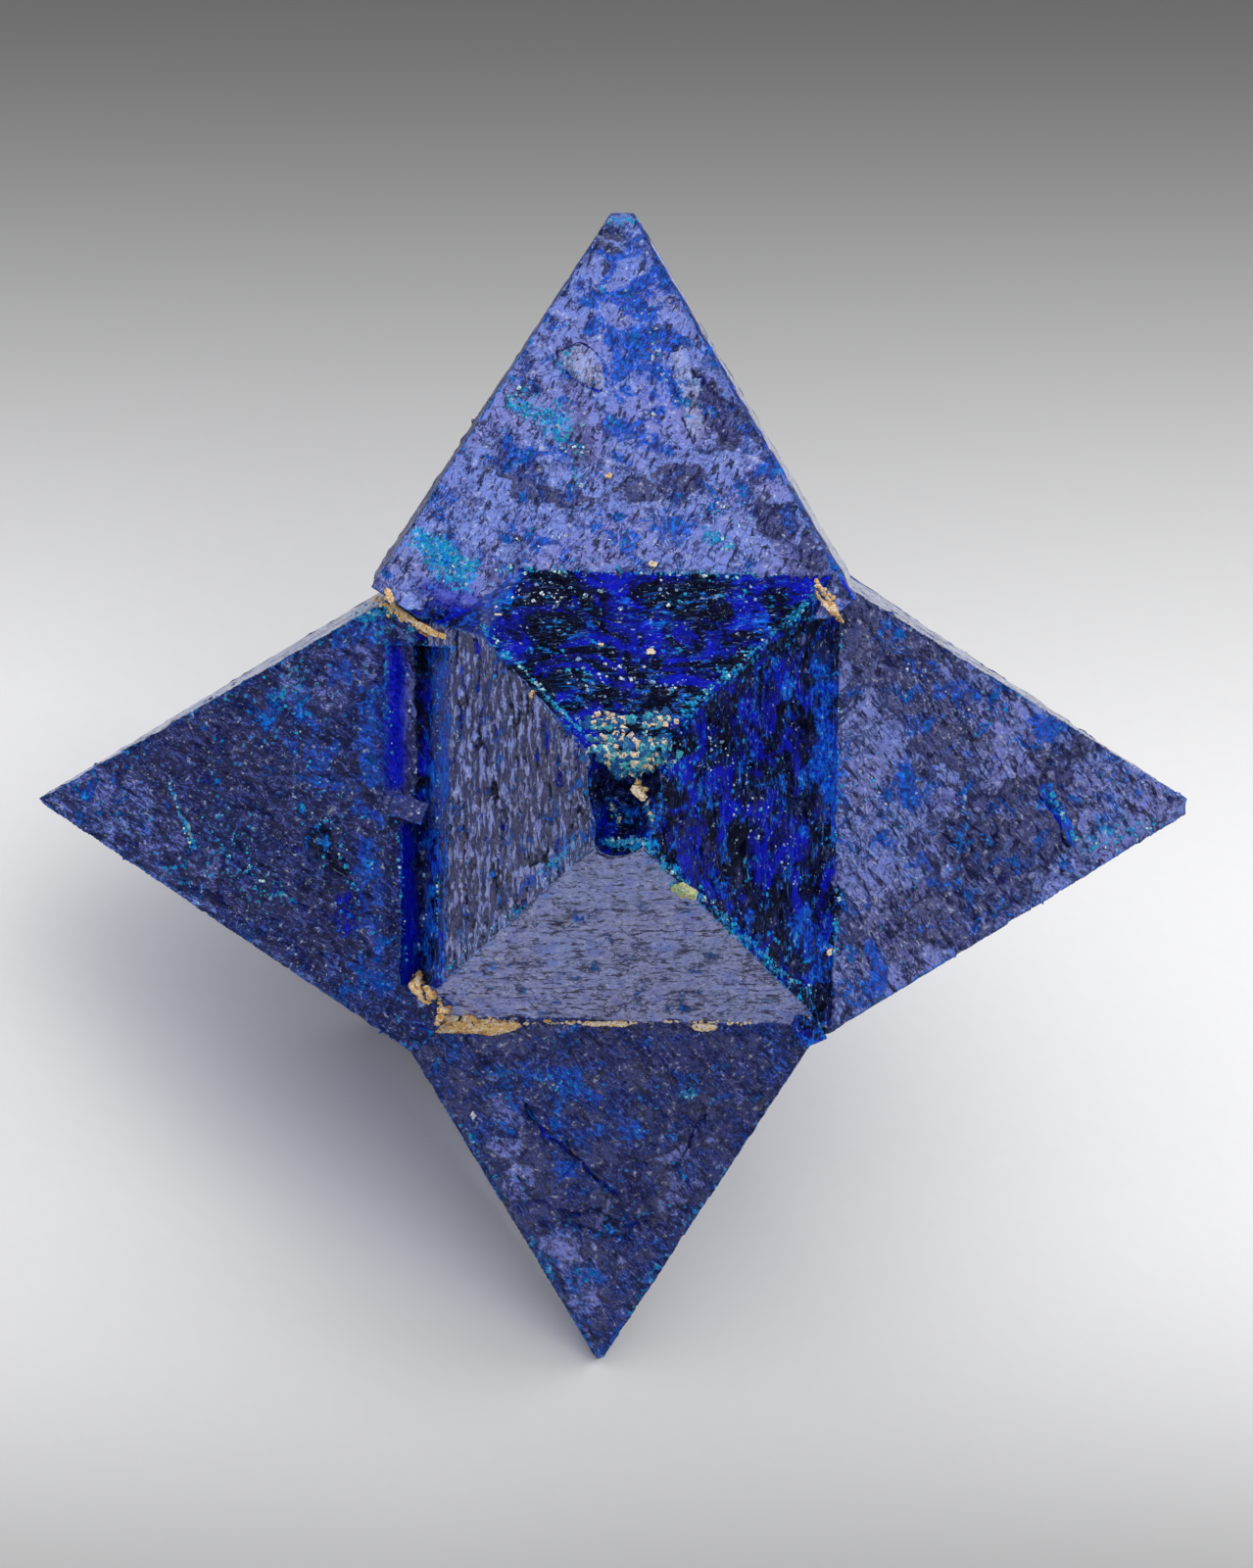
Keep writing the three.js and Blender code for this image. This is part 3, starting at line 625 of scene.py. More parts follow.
def work_the_ray(ray, bm):
    """Sinks pits, ledges and chips into a ray's skin and stores what its surface is like, with the painted
    shade, sheen and highlights that its colour takes.
    """
    bm.normal_update()
    creases = [
        e for e in bm.edges
        if e.is_convex and e.calc_face_angle(0.0) > CREASE
        and not any(is_cut(f) for f in e.link_faces)
    ]
    for edge in bm.edges:
        edge.smooth = edge.calc_face_angle(0.0) < CREASE
    ridge_tree = tree_of([v.co.copy() for e in creases for v in e.verts])
    stain_layer = bm.verts.layers.float_color.new("stain")
    relief_layer = bm.verts.layers.float_color.new("relief")
    extra_layer = bm.verts.layers.float_color.new("extra")
    grain_layer = bm.loops.layers.uv.new("grain")
    out = DIRECTIONS[ray]
    notches = [(out - side).normalized() for side in DIRECTIONS.values() if abs(side.dot(out)) < 0.5]
    owner = {}
    for polygon in bm.faces:
        polygon.smooth = True
        cut = is_cut(polygon)
        found = face_of(polygon.normal, polygon.calc_center_median())
        index, finish, along, across = found
        turn = math.radians(finish["grain"])
        for loop in polygon.loops:
            u, v = loop.vert.co.dot(along), loop.vert.co.dot(across)
            loop[grain_layer].uv = (
                u * math.cos(turn) + v * math.sin(turn) + 40 * index,
                v * math.cos(turn) - u * math.sin(turn),
            )
            if not cut or loop.vert not in owner:
                owner[loop.vert] = found
    moves = []
    for vert in bm.verts:
        index, finish, along, across = owner[vert]
        turn = math.radians(finish["grain"])
        point = vert.co
        u, v = point.dot(along), point.dot(across)
        turned = (u * math.cos(turn) + v * math.sin(turn), v * math.cos(turn) - u * math.sin(turn))
        ridge = ridge_tree.find(point)[2]
        notch = min(point.dot(plane) for plane in notches)
        shown = vert.normal.dot(VIEW_BACK) > 0.15
        marks = dict.fromkeys(STAINS_AND_SHEEN, 0.0)
        plate = 0.0
        if shown:
            x, z = wandered(*seen_at(point))
            marks = {kind: stain_at(kind, x, z) for kind in STAINS_AND_SHEEN}
            plate = smooth(-0.02, 0.03, plate_at(x, z))
        marks["turquoise"] = max(marks["turquoise"], 0.45 * plate)
        depth, dark, knob_highlight = relief(point, *turned, index, finish, ridge, shown, marks["knobs"])
        fade = max(marks["dull"], marks["dark"])
        vert[stain_layer] = (
            max(finish["cobalt"], marks["cobalt"]), marks["turquoise"],
            max(finish["gloss"], marks["dark"]), max(finish["crust"], 0.6 * marks["dull"]))
        # Kept for the colour: where a painted edge highlight goes, etch, painted shade, and a lavender sheen
        # painted on smooth skin, plates and knob crowns
        vert[relief_layer] = (
            smooth(0.3, 0.0, ridge), finish["etch"], dark,
            max(finish["pale"] * (1 - 0.8 * fade), marks["pale"] * (1 - 0.5 * fade), plate, knob_highlight))
        # Kept for the colour: dull skin, gloss, royal glass, and a whitish highlight painted on lit faces,
        # plates and knob crowns
        vert[extra_layer] = (
            max(finish["dull"], marks["dull"]), finish["gloss"], marks["royal"],
            max(finish.get("painted_glare", 0.0), 0.35 * plate, 0.4 * knob_highlight))
        moves.append((vert, vert.normal * (depth * smooth(0.0, 0.12, notch))))
    for vert, move in moves:
        vert.co -= move


class CRYSTAL_OT_star(bpy.types.Operator):
    """Cuts the star into its six rays and etches and stains their faces"""

    bl_idname = "crystal.star"
    bl_label = "Star"

    def execute(self, context):
        settings = context.scene.crystal
        noise.seed_set(settings.seed)
        material = crystal_material(settings)
        for ray in DIRECTIONS:
            bm = mesh_the_ray(ray, settings)
            work_the_ray(ray, bm)
            finished_piece(ray + "_ray", bm, material, "cumengeite", "star_crystal")
        return {"FINISHED"}


def crystal_material(settings):
    """Cumengeite, grown and etched: an indigo skin over bare ultramarine glass. Smooth skin gets a lavender
    sheen painted into its colour, with painted shade in the relief's lows and painted highlights on rims and
    edges;
    crackled skin, cobalt stains and turquoise crust lie on it dull."""
    material = bpy.data.materials.new("cumengeite_grown_and_etched")
    material.use_nodes = True
    tree = material.node_tree
    shader = tree.nodes["Principled BSDF"]
    make = partial(node, tree)
    marks = []
    for name in ("stain", "relief", "extra"):
        stored = make("ShaderNodeAttribute", attribute_name=name)
        marks += [*make("ShaderNodeSeparateColor", stored).node.outputs, stored.node.outputs["Alpha"]]
    cobalt, turquoise, bare, crust, ridge, etch, pit, pale, dull, gloss, clear, painted_glare = marks
    place = make("ShaderNodeTexCoord", out="Object")
    shifted = make("ShaderNodeMapping", place, (0.013, 0.007, 0.021))
    grain = make("ShaderNodeUVMap", uv_map="grain")
    along = make("ShaderNodeMapping", grain, (0, 0, 0), (0, 0, 0), (1.0, 7.0, 1.0))
    squeezed = make("ShaderNodeMapping", grain, (0, 0, 0), (0, 0, 0), (1.0, 2.6, 1.0))

    # Patterns, with the size of their largest features in mm
    mottling = make("noise", place, 1 / (1.5 * MM), 9.0, 0.66, 0.9)
    blotches = make("noise", shifted, 1 / (0.75 * MM), 9.0, 0.72, 0.5)
    islands = make("noise", shifted, 1 / (2.2 * MM), 10.0, 0.62, 0.4)
    grit = make("noise", place, 1 / (0.16 * MM), 4.0, 0.75)
    dust = make("noise", shifted, 1 / (0.06 * MM), 2.0, 0.6)
    ledges = make("noise", place, 1 / (2.0 * MM), 10.0, 0.6, 0.15)
    wrinkles = make("noise", squeezed, 1 / 0.9, 5.0, 0.6, 0.4)
    pocks = make("noise", squeezed, 1 / 0.55, 6.0, 0.68, 0.2)
    striae = make("noise", along, 1 / 0.9, 7.0, 0.7, 0.25)
    fibres = make("noise", along, 1 / 0.4, 4.0, 0.65, 0.6)
    speck = make("ShaderNodeSeparateColor", make("cells", place, 1 / (0.09 * MM)))
    chance = speck.node.outputs["Green"]
    kept = make("subtract", 1.0, clear)

    # Skin: slate to indigo, islands of a lavender sheen painted into smooth skin, standing in for the
    # studio's reflection, and dull violet patches
    skin = make("mix", make("ramp", blotches, 0.45, 0.56), settings.slate, settings.indigo)
    sheen_field = make("add", make("multiply", pale, 0.3), islands)
    sheen_amount = make("ramp", sheen_field, 0.61, 0.64)
    sheen_amount = make("multiply", sheen_amount, make("ramp", grit, 0.3, 0.42, 0.4, 1.0))
    painted_sheen = make("mix", make("ramp", islands, 0.44, 0.58), settings.lavender, settings.mauve)
    skin = make("mix", sheen_amount, skin, painted_sheen)
    dull_amount = make("ramp", make("add", make("multiply", dull, 0.26), mottling), 0.61, 0.69)
    skin = make("mix", make("multiply", dull_amount, 0.8), skin, settings.violet)

    # Dark lines, painted shade in the lows of the relief: edges of growth ledges, striae, crackle, pocks, the
    # edges of the sheen islands, grit lows and pepper pits
    ledge = make("zigzag", make("multiply", ledges, 7.0), 0.5)
    ledge_line = make("ramp", ledge, 0.05, 0.015)
    ledge_line = make("multiply", ledge_line, make("ramp", islands, 0.45, 0.55, 0.15, 1.0))
    wrinkle = make("zigzag", make("multiply", wrinkles, 10.0), 0.5)
    crackled = make("ramp", make("add", make("multiply", crust, 0.3), blotches), 0.55, 0.7)
    crackle = make("multiply", make("ramp", wrinkle, 0.26, 0.1), crackled)
    rims = make("multiply", make("ramp", wrinkle, 0.36, 0.48), crackled)
    pocked = make("ramp", make("add", make("multiply", etch, 0.17), pocks), 0.61, 0.67)
    streak = make("ramp", striae, 0.55, 0.62)
    streak = make("multiply", streak, make("ramp", etch, 0.2, 0.6, 0.3, 0.65))
    lines = make("greater", make("multiply", ledge_line, 0.8), streak)
    sheen_edge_shade = make("multiply", make("ramp", sheen_field, 0.58, 0.61), make("ramp", sheen_field, 0.65, 0.62))
    lines = make("greater", make("multiply", sheen_edge_shade, 0.7), lines)
    lines = make("greater", make("multiply", crackle, 0.85), lines)
    lines = make("greater", make("multiply", pocked, 0.95), lines)
    lines = make("greater", make("multiply", make("ramp", grit, 0.44, 0.34), 0.75), lines)
    strewn = make("ramp", make("add", make("multiply", crust, 0.12), blotches), 0.5, 0.62)
    pepper = make("multiply", make("ramp", chance, 0.24, 0.2), strewn)
    lines = make("greater", make("multiply", pepper, 0.7), lines)
    # Painted highlights: lavender glints on the crackle's rims and whitish glints on the highs of the grit
    skin = make("mix", make("multiply", rims, 0.4), skin, settings.lavender)
    skin = make("mix", make("multiply", make("ramp", grit, 0.56, 0.66), 0.5), skin, settings.painted_glare)
    # Painted highlight: whitish glare on the faces, plates and knob crowns that mirror the studio
    glare_amount = make("multiply", painted_glare, make("ramp", blotches, 0.4, 0.5, 0.3, 1.0))
    skin = make("mix", glare_amount, skin, settings.painted_glare)
    skin = make("mix", lines, skin, settings.navy)

    # Bare glass: nearly black, royal blue where light gets in, with pale fibres along the grain
    glass = make("mix", make("ramp", mottling, 0.47, 0.6), settings.glass, settings.royal)
    glass = make("mix", make("multiply", make("ramp", striae, 0.58, 0.66), 0.45), glass, settings.azure)
    thread = make("multiply", make("ramp", fibres, 0.58, 0.64), make("ramp", blotches, 0.46, 0.58))
    glass = make("mix", make("multiply", thread, 0.45), glass, settings.pale_grain_and_glint)
    glass = make("mix", clear, glass, settings.royal)
    bare_amount = make("ramp", make("add", make("multiply", bare, 0.34), blotches), 0.6, 0.7)
    # Painted shade: pits, cracks, knob hollows and plate outlines take the dark glass colour
    bare_amount = make("greater", bare_amount, make("ramp", pit, 0.35, 0.75))
    bare_amount = make("greater", bare_amount, clear)
    body = make("mix", bare_amount, skin, glass)

    # Stains: cobalt from deep to bright and turquoise crust with green and pale grains; then painted
    # highlights: lighter azure along sharp edges and pale glints
    stain = make("mix", make("ramp", grit, 0.42, 0.58), settings.ultramarine, settings.cobalt)
    stain = make("mix", make("ramp", blotches, 0.56, 0.68), stain, settings.azure)
    cobalt_amount = make("ramp", make("add", make("multiply", cobalt, 0.24), blotches), 0.63, 0.7)
    cobalt_amount = make("multiply", cobalt_amount, make("ramp", grit, 0.36, 0.5, 0.25, 1.0))
    cobalt_amount = make("multiply", cobalt_amount, make("ramp", crackle, 0.0, 1.0, 1.0, 0.35))
    cobalt_amount = make("multiply", cobalt_amount, kept)
    body = make("mix", cobalt_amount, body, stain)
    # Painted edge highlight: lighter azure along the sharp edges
    edge_highlight = make("ramp", make("add", make("multiply", ridge, 0.3), grit), 0.74, 0.86)
    edge_highlight = make("multiply", edge_highlight, make("ramp", islands, 0.42, 0.58, 0.15, 1.0))
    body = make("mix", edge_highlight, body, settings.azure)
    powder = make("mix", make("ramp", speck, 0.3, 0.7), settings.turquoise, settings.azure)
    powder = make("mix", make("ramp", mottling, 0.58, 0.66), powder, settings.verdigris)
    powder = make("mix", make("ramp", speck, 0.86, 0.9), powder, settings.pale_grain_and_glint)
    patchy = make("add", make("multiply", grit, 0.5), make("multiply", blotches, 0.5))
    crust_amount = make("ramp", make("add", make("multiply", turquoise, 0.17), patchy), 0.6, 0.65)
    body = make("mix", crust_amount, body, powder)
    # Painted glints: pale specks on glassy and crusty skin
    chipped = make("greater", make("multiply", gloss, 0.8), make("multiply", crust, 0.6))
    painted_glints = make("ramp", make("add", make("multiply", chipped, 0.08), grit), 0.66, 0.7)
    painted_glints = make("multiply", make("multiply", painted_glints, make("ramp", speck, 0.5, 0.55)), kept)
    body = make("mix", painted_glints, body, settings.pale_grain_and_glint)
    sparks = make("multiply", make("multiply", make("ramp", chance, 0.955, 0.965), strewn), kept)
    sparks = make("multiply", sparks, make("ramp", islands, 0.46, 0.6, 0.15, 1.0))
    body = make("mix", sparks, body, make("mix", mottling, settings.azure, settings.turquoise))
    tree.links.new(body, shader.inputs["Base Color"])

    # Stains and crackle are powdery and mirror little; smooth skin and glass mirror the studio
    powdery = make("greater", cobalt_amount, crust_amount)
    powdery = make("greater", powdery, make("greater", dull_amount, crackled))
    rough = make("ramp", grit, 0.35, 0.65, 0.12, 0.26)
    rough = make("add", rough, make("multiply", make("greater", powdery, painted_glints), 0.22))
    tree.links.new(rough, shader.inputs["Roughness"])
    level = make("ramp", powdery, 0.0, 1.0, 0.5, 0.14)
    level = make("multiply", level, make("ramp", bare_amount, 0.0, 1.0, 1.0, 0.3))
    tree.links.new(level, shader.inputs["Specular IOR Level"])
    height = make("multiply", grit, make("add", make("multiply", crust, 1.1), 0.5))
    height = make("add", height, make("multiply", dust, 0.12))
    height = make("add", height, make("multiply", striae, 0.5))
    height = make("add", height, make("multiply", make("stairs", ledges, 1 / 7), 2.0))
    height = make("subtract", height, make("multiply", ledge_line, 0.5))
    height = make("subtract", height, make("multiply", crackle, 0.7))
    height = make("subtract", height, make("multiply", pocked, 0.9))
    height = make("multiply", height, make("ramp", bare_amount, 0.0, 1.0, 1.0, 0.55))
    tree.links.new(make("bump", height, 0.9, 0.1 * MM), shader.inputs["Normal"])
    shader.inputs["IOR"].default_value = REFRACTION
    return material


def matrix_material(name, first, second, third, shadow, third_from=0.82):
    """Earth, salt or chips stuck to the crystal: grains of three tints, painted shade between them, a dull,
    dusty surface.
    """
    material = bpy.data.materials.new(name)
    material.use_nodes = True
    tree = material.node_tree
    shader = tree.nodes["Principled BSDF"]
    make = partial(node, tree)
    place = make("ShaderNodeTexCoord", out="Object")
    tint = make("ShaderNodeAttribute", out="Fac", attribute_name="tint")
    # A noise about 0.05 mm across bumps the surface, and its lows get the shadow colour, painted shade in the
    # gaps between the grains
    dust = make("noise", place, 1 / (0.05 * MM), 4.0)
    colour = make("mix", make("ramp", tint, 0.3, 0.6), first, second)
    colour = make("mix", make("ramp", tint, third_from, third_from + 0.04), colour, third)
    colour = make("mix", make("ramp", dust, 0.32, 0.52), shadow, colour)
    tree.links.new(colour, shader.inputs["Base Color"])
    tree.links.new(make("bump", dust, 0.8, 0.03 * MM), shader.inputs["Normal"])
    shader.inputs["Roughness"].default_value = 0.75
    return material


def crumbly(name, grain):
    """A CAD lump worked into grains of the given size in mm, each with its own tint."""
    bm = refined(worked_copy(name), lambda edge: grain * 0.4, 8)
    bm.normal_update()
    tints = bm.verts.layers.float.new("tint")
    moves = []
    for vert in bm.verts:
        distances, centres = noise.voronoi(vert.co / grain)
        rough = 0.5 + 0.5 * noise.fractal(vert.co / 0.25, 0.8, 2.1, 3)
        vert[tints] = 0.5 + 0.5 * noise.cell(centres[0] * 5.1)
        moves.append((vert, vert.normal * grain * (0.45 * min(distances[0], 1.0) + 0.35 * rough)))
    for vert, move in moves:
        vert.co -= move
    for polygon in bm.faces:
        polygon.smooth = True
    return bm


def star_skin():
    """A search tree of the finished star in the crystal's own frame, for what sits on it."""
    bm = bmesh.new()
    for ray in DIRECTIONS:
        bm.from_mesh(bpy.data.objects[ray + "_ray"].data)
    bm.transform(PART_TO_CRYSTAL)
    skin = BVHTree.FromBMesh(bm)
    bm.free()
    return skin


def sprinkle(bm, skin, spread, shape, rng):
    """Sets small crystals or crumbs on the star along the strokes of a spread."""
    whole = bpy.data.meshes.new("sprinkled")
    for ax, az, bx, bz, radius, count, small, large in spread:
        batch = bmesh.new()
        tints = batch.verts.layers.float.new("tint")
        for _ in range(count):
            t = rng.random()
            away = radius * rng.gauss(0, 0.6)
            turn = rng.uniform(0, math.tau)
            x = ax + t * (bx - ax) + away * math.cos(turn)
            z = az + t * (bz - az) + away * math.sin(turn)
            start = VIEW_RIGHT * x + VIEW_UP * z + VIEW_BACK * 30
            hit, normal = skin.ray_cast(start, -VIEW_BACK)[:2]
            if hit is None or noise.noise(hit * 2.3) < rng.uniform(-0.5, 0.15):
                continue
            size = small + (large - small) * rng.random() ** 2
            stretch = Vector((rng.uniform(0.6, 1.2), rng.uniform(0.6, 1.2), rng.uniform(0.6, 1.3)))
            matrix = (
                Matrix.Translation(hit + normal * size * 0.1)
                @ Euler([rng.uniform(0, math.tau) for _ in range(3)]).to_matrix().to_4x4()
                @ Matrix.Diagonal((*(stretch * size), 1))
            )
            if shape == "cube":
                made = bmesh.ops.create_cube(batch, size=1.0, matrix=matrix)["verts"]
            else:
                made = bmesh.ops.create_icosphere(batch, subdivisions=1, radius=0.6, matrix=matrix)["verts"]
            tint = rng.random()
            for vert in made:
                vert[tints] = tint
                vert.co += noise.noise_vector(vert.co * 9) * size * 0.25
        batch.to_mesh(whole)
        batch.free()
        bm.from_mesh(whole)
    bpy.data.meshes.remove(whole)


# Strokes of crumbs on the matrix pieces, then of small crystals and of pale chips on the star, the chips
# being painted highlights set where white glints show, in the front view: start x, start z, end x, end z,
# radius, count, least size and largest size, in mm
CRUMB_SPREAD = {
    "seam_upper_left": [
        (-6.05, 4.9, -4.6, 3.95, 0.1, 110, 0.05, 0.16),
        (-5.7, 4.7, -5.3, 4.5, 0.25, 20, 0.05, 0.1),
    ],
    "seam_upper_right": [(5.2, 5.3, 5.8, 4.5, 0.14, 70, 0.05, 0.16)],
    "lump_channel": [(-4.95, -4.7, -4.5, -5.35, 0.16, 70, 0.06, 0.2)],
    "lump_channel_foot": [(-4.4, -5.4, -4.1, -5.7, 0.12, 30, 0.05, 0.14)],
    "seam_bottom": [
        (-4.4, -5.8, -2.4, -6.0, 0.14, 190, 0.06, 0.2),
        (-4.5, -5.9, -3.6, -6.05, 0.15, 50, 0.08, 0.2),
    ],
    "seam_bottom_middle": [(-2.2, -5.95, 1.0, -5.92, 0.04, 70, 0.04, 0.12)],
    "seam_bottom_right": [(1.4, -5.9, 3.6, -5.95, 0.05, 50, 0.04, 0.12)],
    "ridge_lump": [(1.7, -2.45, 2.1, -2.75, 0.13, 40, 0.05, 0.14)],
    "tip_grain": [(0.5, 0.35, 0.9, 0.0, 0.12, 24, 0.06, 0.16)],
    "tip_druse": [
        (-0.7, 1.65, 1.5, 1.75, 0.22, 260, 0.06, 0.2),
        (-0.3, 1.2, 1.5, 1.2, 0.3, 480, 0.05, 0.18),
        (0.3, 0.8, 1.4, 0.7, 0.2, 220, 0.05, 0.16),
        (0.0, -0.3, 0.2, -0.85, 0.1, 50, 0.05, 0.12),
        (0.9, -0.2, 1.1, -0.9, 0.1, 40, 0.04, 0.1),
    ],
}
CRYSTAL_SPREAD = [
    (1.7, 1.8, 5.2, 4.9, 0.1, 120, 0.02, 0.09),
    (0.9, -1.5, 5.0, -5.2, 0.17, 220, 0.02, 0.1),
    (-0.8, -1.5, -4.4, -4.8, 0.05, 70, 0.03, 0.08),
    (-3.3, 4.2, -0.6, 1.3, 0.06, 110, 0.03, 0.09),
    (-3.0, 5.6, 4.8, 5.45, 0.12, 170, 0.03, 0.09),
    (-2.5, 10.0, -1.2, 9.3, 0.4, 110, 0.03, 0.09),
    (-4.9, 6.4, -3.7, 5.5, 0.4, 120, 0.03, 0.1),
    (2.5, 6.5, 2.9, 6.3, 0.2, 60, 0.03, 0.09),
    (-9.8, -1.2, -8.8, -2.6, 0.9, 90, 0.03, 0.08),
    (-8.4, 2.6, -6.0, -3.8, 0.9, 120, 0.03, 0.08),
    (-6.6, 4.5, -5.5, 4.6, 0.25, 50, 0.03, 0.09),
    (-11.3, 0.2, -10.7, -1.5, 0.03, 60, 0.03, 0.07),
    (11.2, 0.0, 11.9, -1.3, 0.07, 90, 0.03, 0.1),
    (12.2, -1.5, 13.8, -1.0, 0.3, 80, 0.03, 0.09),
    (-0.1, -1.3, 1.0, -1.35, 0.1, 110, 0.03, 0.1),
    (-1.9, -2.2, -0.9, -1.4, 0.12, 60, 0.03, 0.08),
    (1.9, -7.8, 2.2, -7.8, 0.2, 30, 0.03, 0.08),
    (-2.1, -7.3, -0.3, -7.7, 0.4, 40, 0.03, 0.07),
    (5.8, -2.6, 5.7, -4.6, 0.08, 60, 0.03, 0.1),
    (5.9, 4.2, 5.75, -1.6, 0.06, 60, 0.03, 0.07),
    (-5.75, 3.6, -5.2, -4.4, 0.06, 70, 0.03, 0.08),
    (-4.4, 3.6, -4.4, -4.4, 0.05, 60, 0.03, 0.07),
]
# Pale chips set where white glints show: painted highlights
GLINT_SPREAD = [
    (-2.6, 4.9, 3.6, 4.9, 0.5, 120, 0.02, 0.1),
    (-1.0, 3.0, 1.8, 2.6, 0.5, 110, 0.02, 0.1),
    (2.4, 1.6, 4.6, -2.2, 0.9, 110, 0.02, 0.07),
    (-3.0, 6.4, 4.0, 6.3, 0.3, 60, 0.02, 0.07),
    (-2.6, 9.6, -0.4, 7.6, 0.8, 70, 0.02, 0.08),
    (0.6, 12.8, 2.0, 9.0, 0.8, 80, 0.02, 0.08),
    (2.0, 7.4, 3.6, 6.6, 0.4, 50, 0.02, 0.08),
    (7.4, 3.2, 9.4, 1.8, 0.5, 50, 0.02, 0.08),
    (6.4, 1.0, 8.0, -3.0, 0.6, 50, 0.02, 0.07),
    (-5.2, 3.4, -4.7, -4.2, 0.15, 40, 0.02, 0.08),
]


class CRYSTAL_OT_matrix(bpy.types.Operator):
    """Crumbles the matrix in the notches and sets crumbs and small crystals on the star"""

    bl_idname = "crystal.matrix"
    bl_label = "Matrix"

    def execute(self, context):
        settings = context.scene.crystal
        noise.seed_set(settings.seed)
        rng = random.Random(settings.seed)
        skin = star_skin()
        brown, navy = hex_linear("#a88a64"), hex_linear("#0c1446")
        # Dried clay is dull, in warm tints with brown painted shade in the gaps between its grains; grown
        # salts and flaked gypsum get navy painted shade in their gaps
        materials = {
            "ochre_matrix": matrix_material(
                "limonite_clay_dried_on", settings.ochre, settings.cream, hex_linear("#c88c50"), brown),
            "pale_matrix": matrix_material(
                "pale_silt_dried_on", settings.cream, hex_linear("#f2e4d0"), settings.ochre, brown),
            "green_matrix": matrix_material(
                "copper_stained_clay_dried_on", hex_linear("#d2d290"), hex_linear("#a0d2aa"),
                settings.cream, brown),
            "druse": matrix_material(
                "copper_salt_druse_grown", hex_linear("#0e5aa0"), hex_linear("#46b4c8"), settings.cream,
                navy, third_from=0.7),
            "white_mineral": matrix_material(
                "white_gypsum_flaked", hex_linear("#e8e8f0"), hex_linear("#c8d2e6"), settings.cream, navy),
        }
        for part in frame["record"]["subparts"]:
            name, slot = part["node"], part["material_slot"]
            if slot in materials:
                bm = crumbly(name, 0.16 if slot == "druse" else 0.13)
                shape = "cube" if slot == "druse" else "crumb"
                sprinkle(bm, skin, CRUMB_SPREAD.get(name, []), shape, rng)
                finished_piece(name + "_crumbs", bm, materials[slot], slot, name)
        tiny = matrix_material(
            "copper_salt_crystals_grown", settings.turquoise, hex_linear("#3c96dc"),
            hex_linear("#c8f0f0"), navy)
        # Pale cubes that stand in for white glints: painted highlights
        painted_glints = matrix_material(
            "pale_cubes_for_painted_glints", hex_linear("#8cb4e6"), hex_linear("#dcebfa"), settings.turquoise, navy)
        for name, spread, material in (
            ("small_crystals", CRYSTAL_SPREAD, tiny), ("glint_chips", GLINT_SPREAD, painted_glints),
        ):
            bm = bmesh.new()
            bm.verts.layers.float.new("tint")
            sprinkle(bm, skin, spread, "cube", rng)
            finished_piece(name, bm, material, "cumengeite")
        return {"FINISHED"}


# Soft lights: direction from the star, distance and width in metres
OVERHEAD_BOX = ((-0.42, -0.06, 0.90), 0.22, 0.42)
FILL_BOX = ((0.1, -0.9, 0.42), 0.30, 0.25)
RIM_BOX = ((0.55, 0.65, 0.5), 0.30, 0.20)
FLOOR_REACH = 3.0
SENSOR_HEIGHT = 36


def softbox(name, towards, distance, width, power):
    """A square area light that faces the star's centre from one direction."""
    data = bpy.data.lights.new(name, "AREA")
    data.shape = "SQUARE"
    data.size = width
    data.energy = power
    light = bpy.data.objects.new(name, data)
    light.location = CRYSTAL_TO_PART.translation + Vector(towards).normalized() * distance
    light.rotation_euler = Vector(towards).to_track_quat("Z", "Y").to_euler()
    bpy.context.scene.collection.objects.link(light)
    return light


class CRYSTAL_OT_stage(bpy.types.Operator):
    """Sets out the paper floor, the soft light and the camera"""

    bl_idname = "crystal.stage"
    bl_label = "Stage"

    def execute(self, context):
        settings = context.scene.stage
        bm = bmesh.new()
        bmesh.ops.create_grid(bm, x_segments=2, y_segments=2, size=FLOOR_REACH)
        mesh = bpy.data.meshes.new("floor")
        bm.to_mesh(mesh)
        bm.free()
        mesh.materials.append(floor_material(settings))
        floor = bpy.data.objects.new("floor", mesh)
        context.scene.collection.objects.link(floor)
        softbox("overhead_softbox", *OVERHEAD_BOX, settings.overhead)
        softbox("front_fill", *FILL_BOX, settings.fill).visible_glossy = False
        softbox("rim_light", *RIM_BOX, settings.rim).visible_glossy = False
        world = bpy.data.worlds.new("room")
        world.use_nodes = True
        backdrop = world.node_tree.nodes["Background"]
        backdrop.inputs["Color"].default_value = hex_linear("#d2d2d4")
        backdrop.inputs["Strength"].default_value = settings.ambient
        context.scene.world = world
        world.cycles_visibility.glossy = False
        context.scene.view_settings.view_transform = "Standard"
        data = bpy.data.cameras.new("camera")
        data.sensor_fit = "VERTICAL"
        data.sensor_height = SENSOR_HEIGHT
        data.lens = data.sensor_height * VIEW_DISTANCE / VIEW_HEIGHT
        camera = bpy.data.objects.new("camera", data)
        eye = VIEW_RIGHT * VIEW_CENTRE[0] + VIEW_UP * VIEW_CENTRE[1] + VIEW_BACK * VIEW_DISTANCE
        turn = Matrix((VIEW_RIGHT, VIEW_UP, VIEW_BACK)).transposed().to_4x4()
        part_turn = CRYSTAL_TO_PART.to_3x3().normalized().to_4x4()
        camera.matrix_world = Matrix.Translation(CRYSTAL_TO_PART @ eye) @ part_turn @ turn
        context.scene.collection.objects.link(camera)
        context.scene.camera = camera
        return {"FINISHED"}


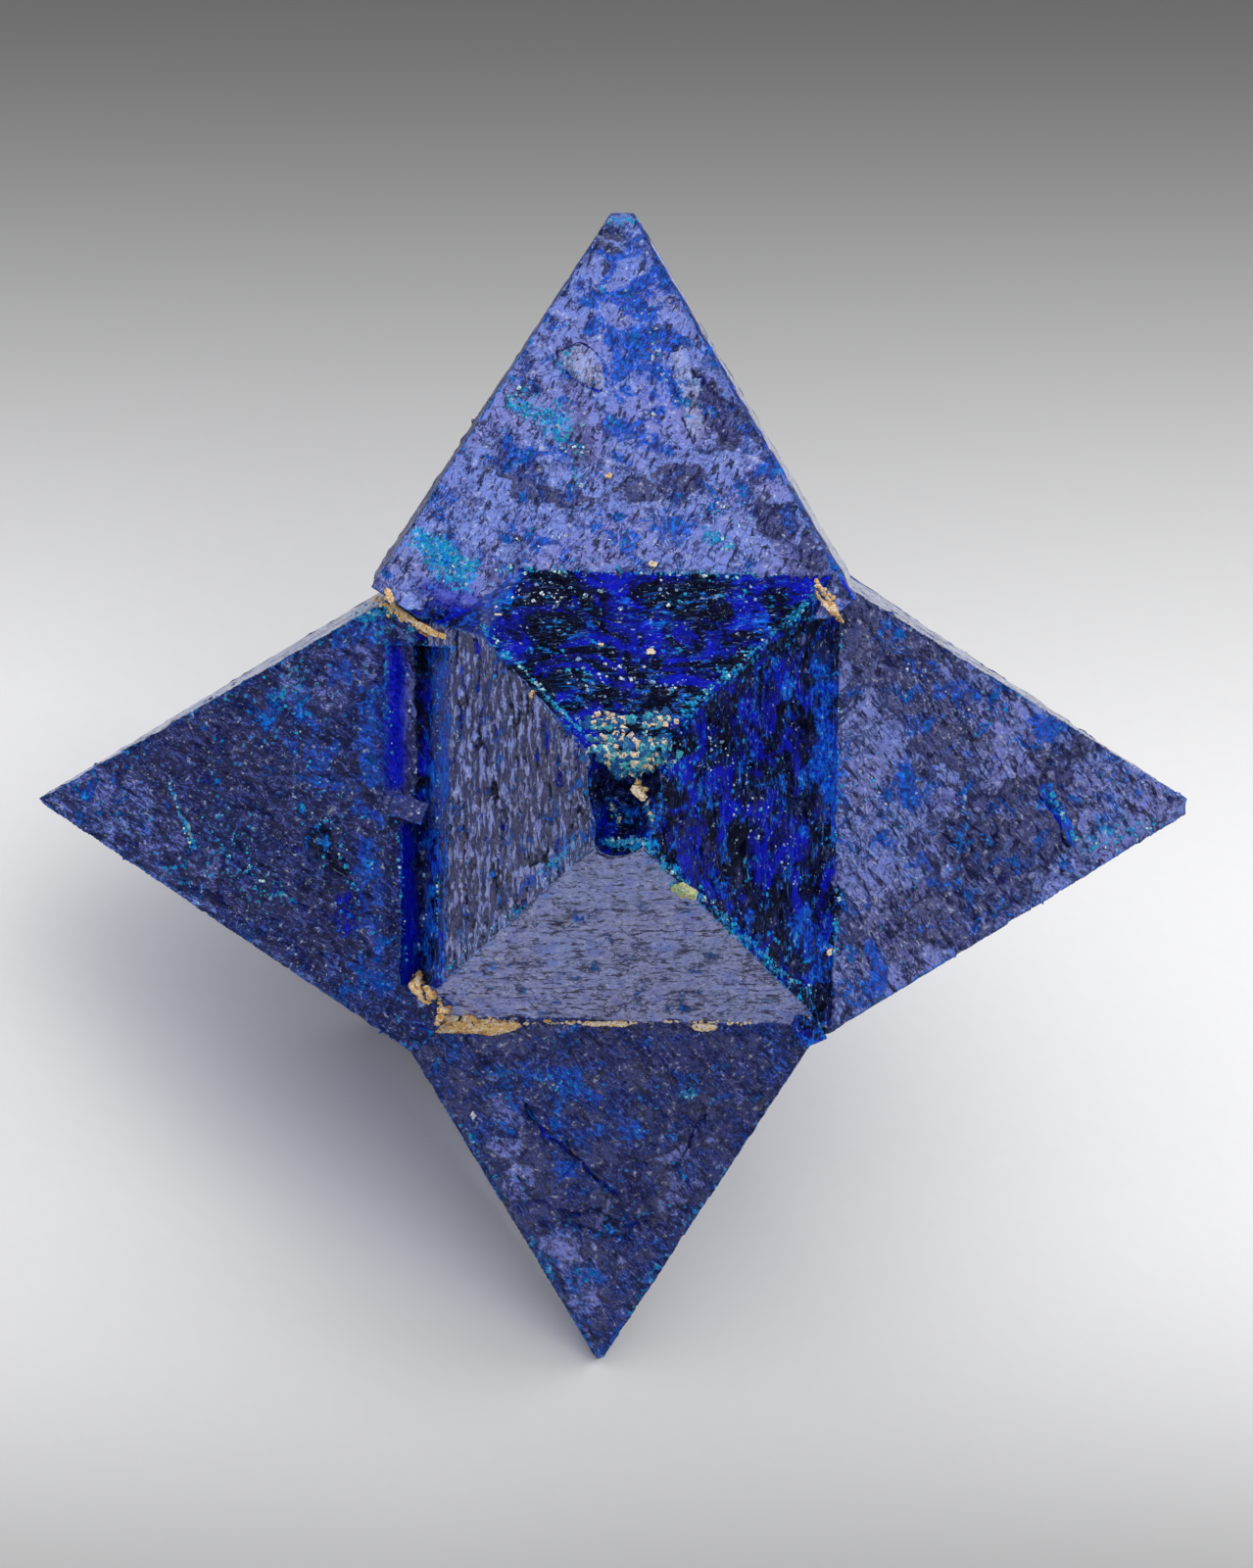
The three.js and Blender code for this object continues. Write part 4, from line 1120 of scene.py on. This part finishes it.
def floor_material(settings):
    """Studio paper, matt coated: a pale sheet with painted shade that darkens it to grey far behind and
    towards the front, standing in for the fall of the studio light, with a faint fibre.
    """
    material = bpy.data.materials.new("studio_paper")
    material.use_nodes = True
    tree = material.node_tree
    shader = tree.nodes["Principled BSDF"]
    make = partial(node, tree)
    place = make("ShaderNodeTexCoord", out="Object")
    # The sheet's grade runs up the picture, which is 37 degrees round from the part's own depth
    graded = make("ShaderNodeMapping", place, (0, 0, 0), (0, 0, math.radians(-37)))
    up = make("ShaderNodeSeparateXYZ", graded, out="Y")
    # Painted shade far behind and in front
    behind = make("ramp", up, 2 * MM, 38 * MM)
    before = make("ramp", up, -5 * MM, -26 * MM)
    colour = make("mix", behind, settings.floor, settings.floor_shaded_far)
    colour = make("mix", before, colour, settings.floor_shaded_near)
    fibre = make("noise", place, 1 / (0.5 * MM), 3.0)
    colour = make("mix", make("ramp", fibre, 0.0, 1.0, 0.0, 0.03), colour, hex_linear("#808080"))
    tree.links.new(colour, shader.inputs["Base Color"])
    shader.inputs["Roughness"].default_value = 0.7
    return material


class CRYSTAL_PT_panel(bpy.types.Panel):
    """Shows the settings and the buttons that build the pieces"""

    bl_label = "Cumengeite crystal"
    bl_idname = "CRYSTAL_PT_panel"
    bl_space_type = "VIEW_3D"
    bl_region_type = "UI"
    bl_category = "Crystal"

    def draw(self, context):
        column = self.layout.column()
        for group in (context.scene.crystal, context.scene.stage):
            for name in group.bl_rna.properties.keys():
                if name not in ("name", "rna_type"):
                    column.prop(group, name)
        for operator in OPERATORS:
            column.operator(operator.bl_idname)


OPERATORS = (CRYSTAL_OT_star, CRYSTAL_OT_matrix, CRYSTAL_OT_stage)
CLASSES = (CrystalSettings, StageSettings, *OPERATORS, CRYSTAL_PT_panel)


def register():
    for cls in CLASSES:
        bpy.utils.register_class(cls)
    bpy.types.Scene.crystal = PointerProperty(type=CrystalSettings)
    bpy.types.Scene.stage = PointerProperty(type=StageSettings)


def unregister():
    del bpy.types.Scene.stage
    del bpy.types.Scene.crystal
    for cls in reversed(CLASSES):
        bpy.utils.unregister_class(cls)


def main():
    """Registers the add-on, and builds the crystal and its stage."""
    register()
    bpy.ops.crystal.star()
    bpy.ops.crystal.matrix()
    bpy.ops.crystal.stage()


if __name__ == "__main__":
    main()
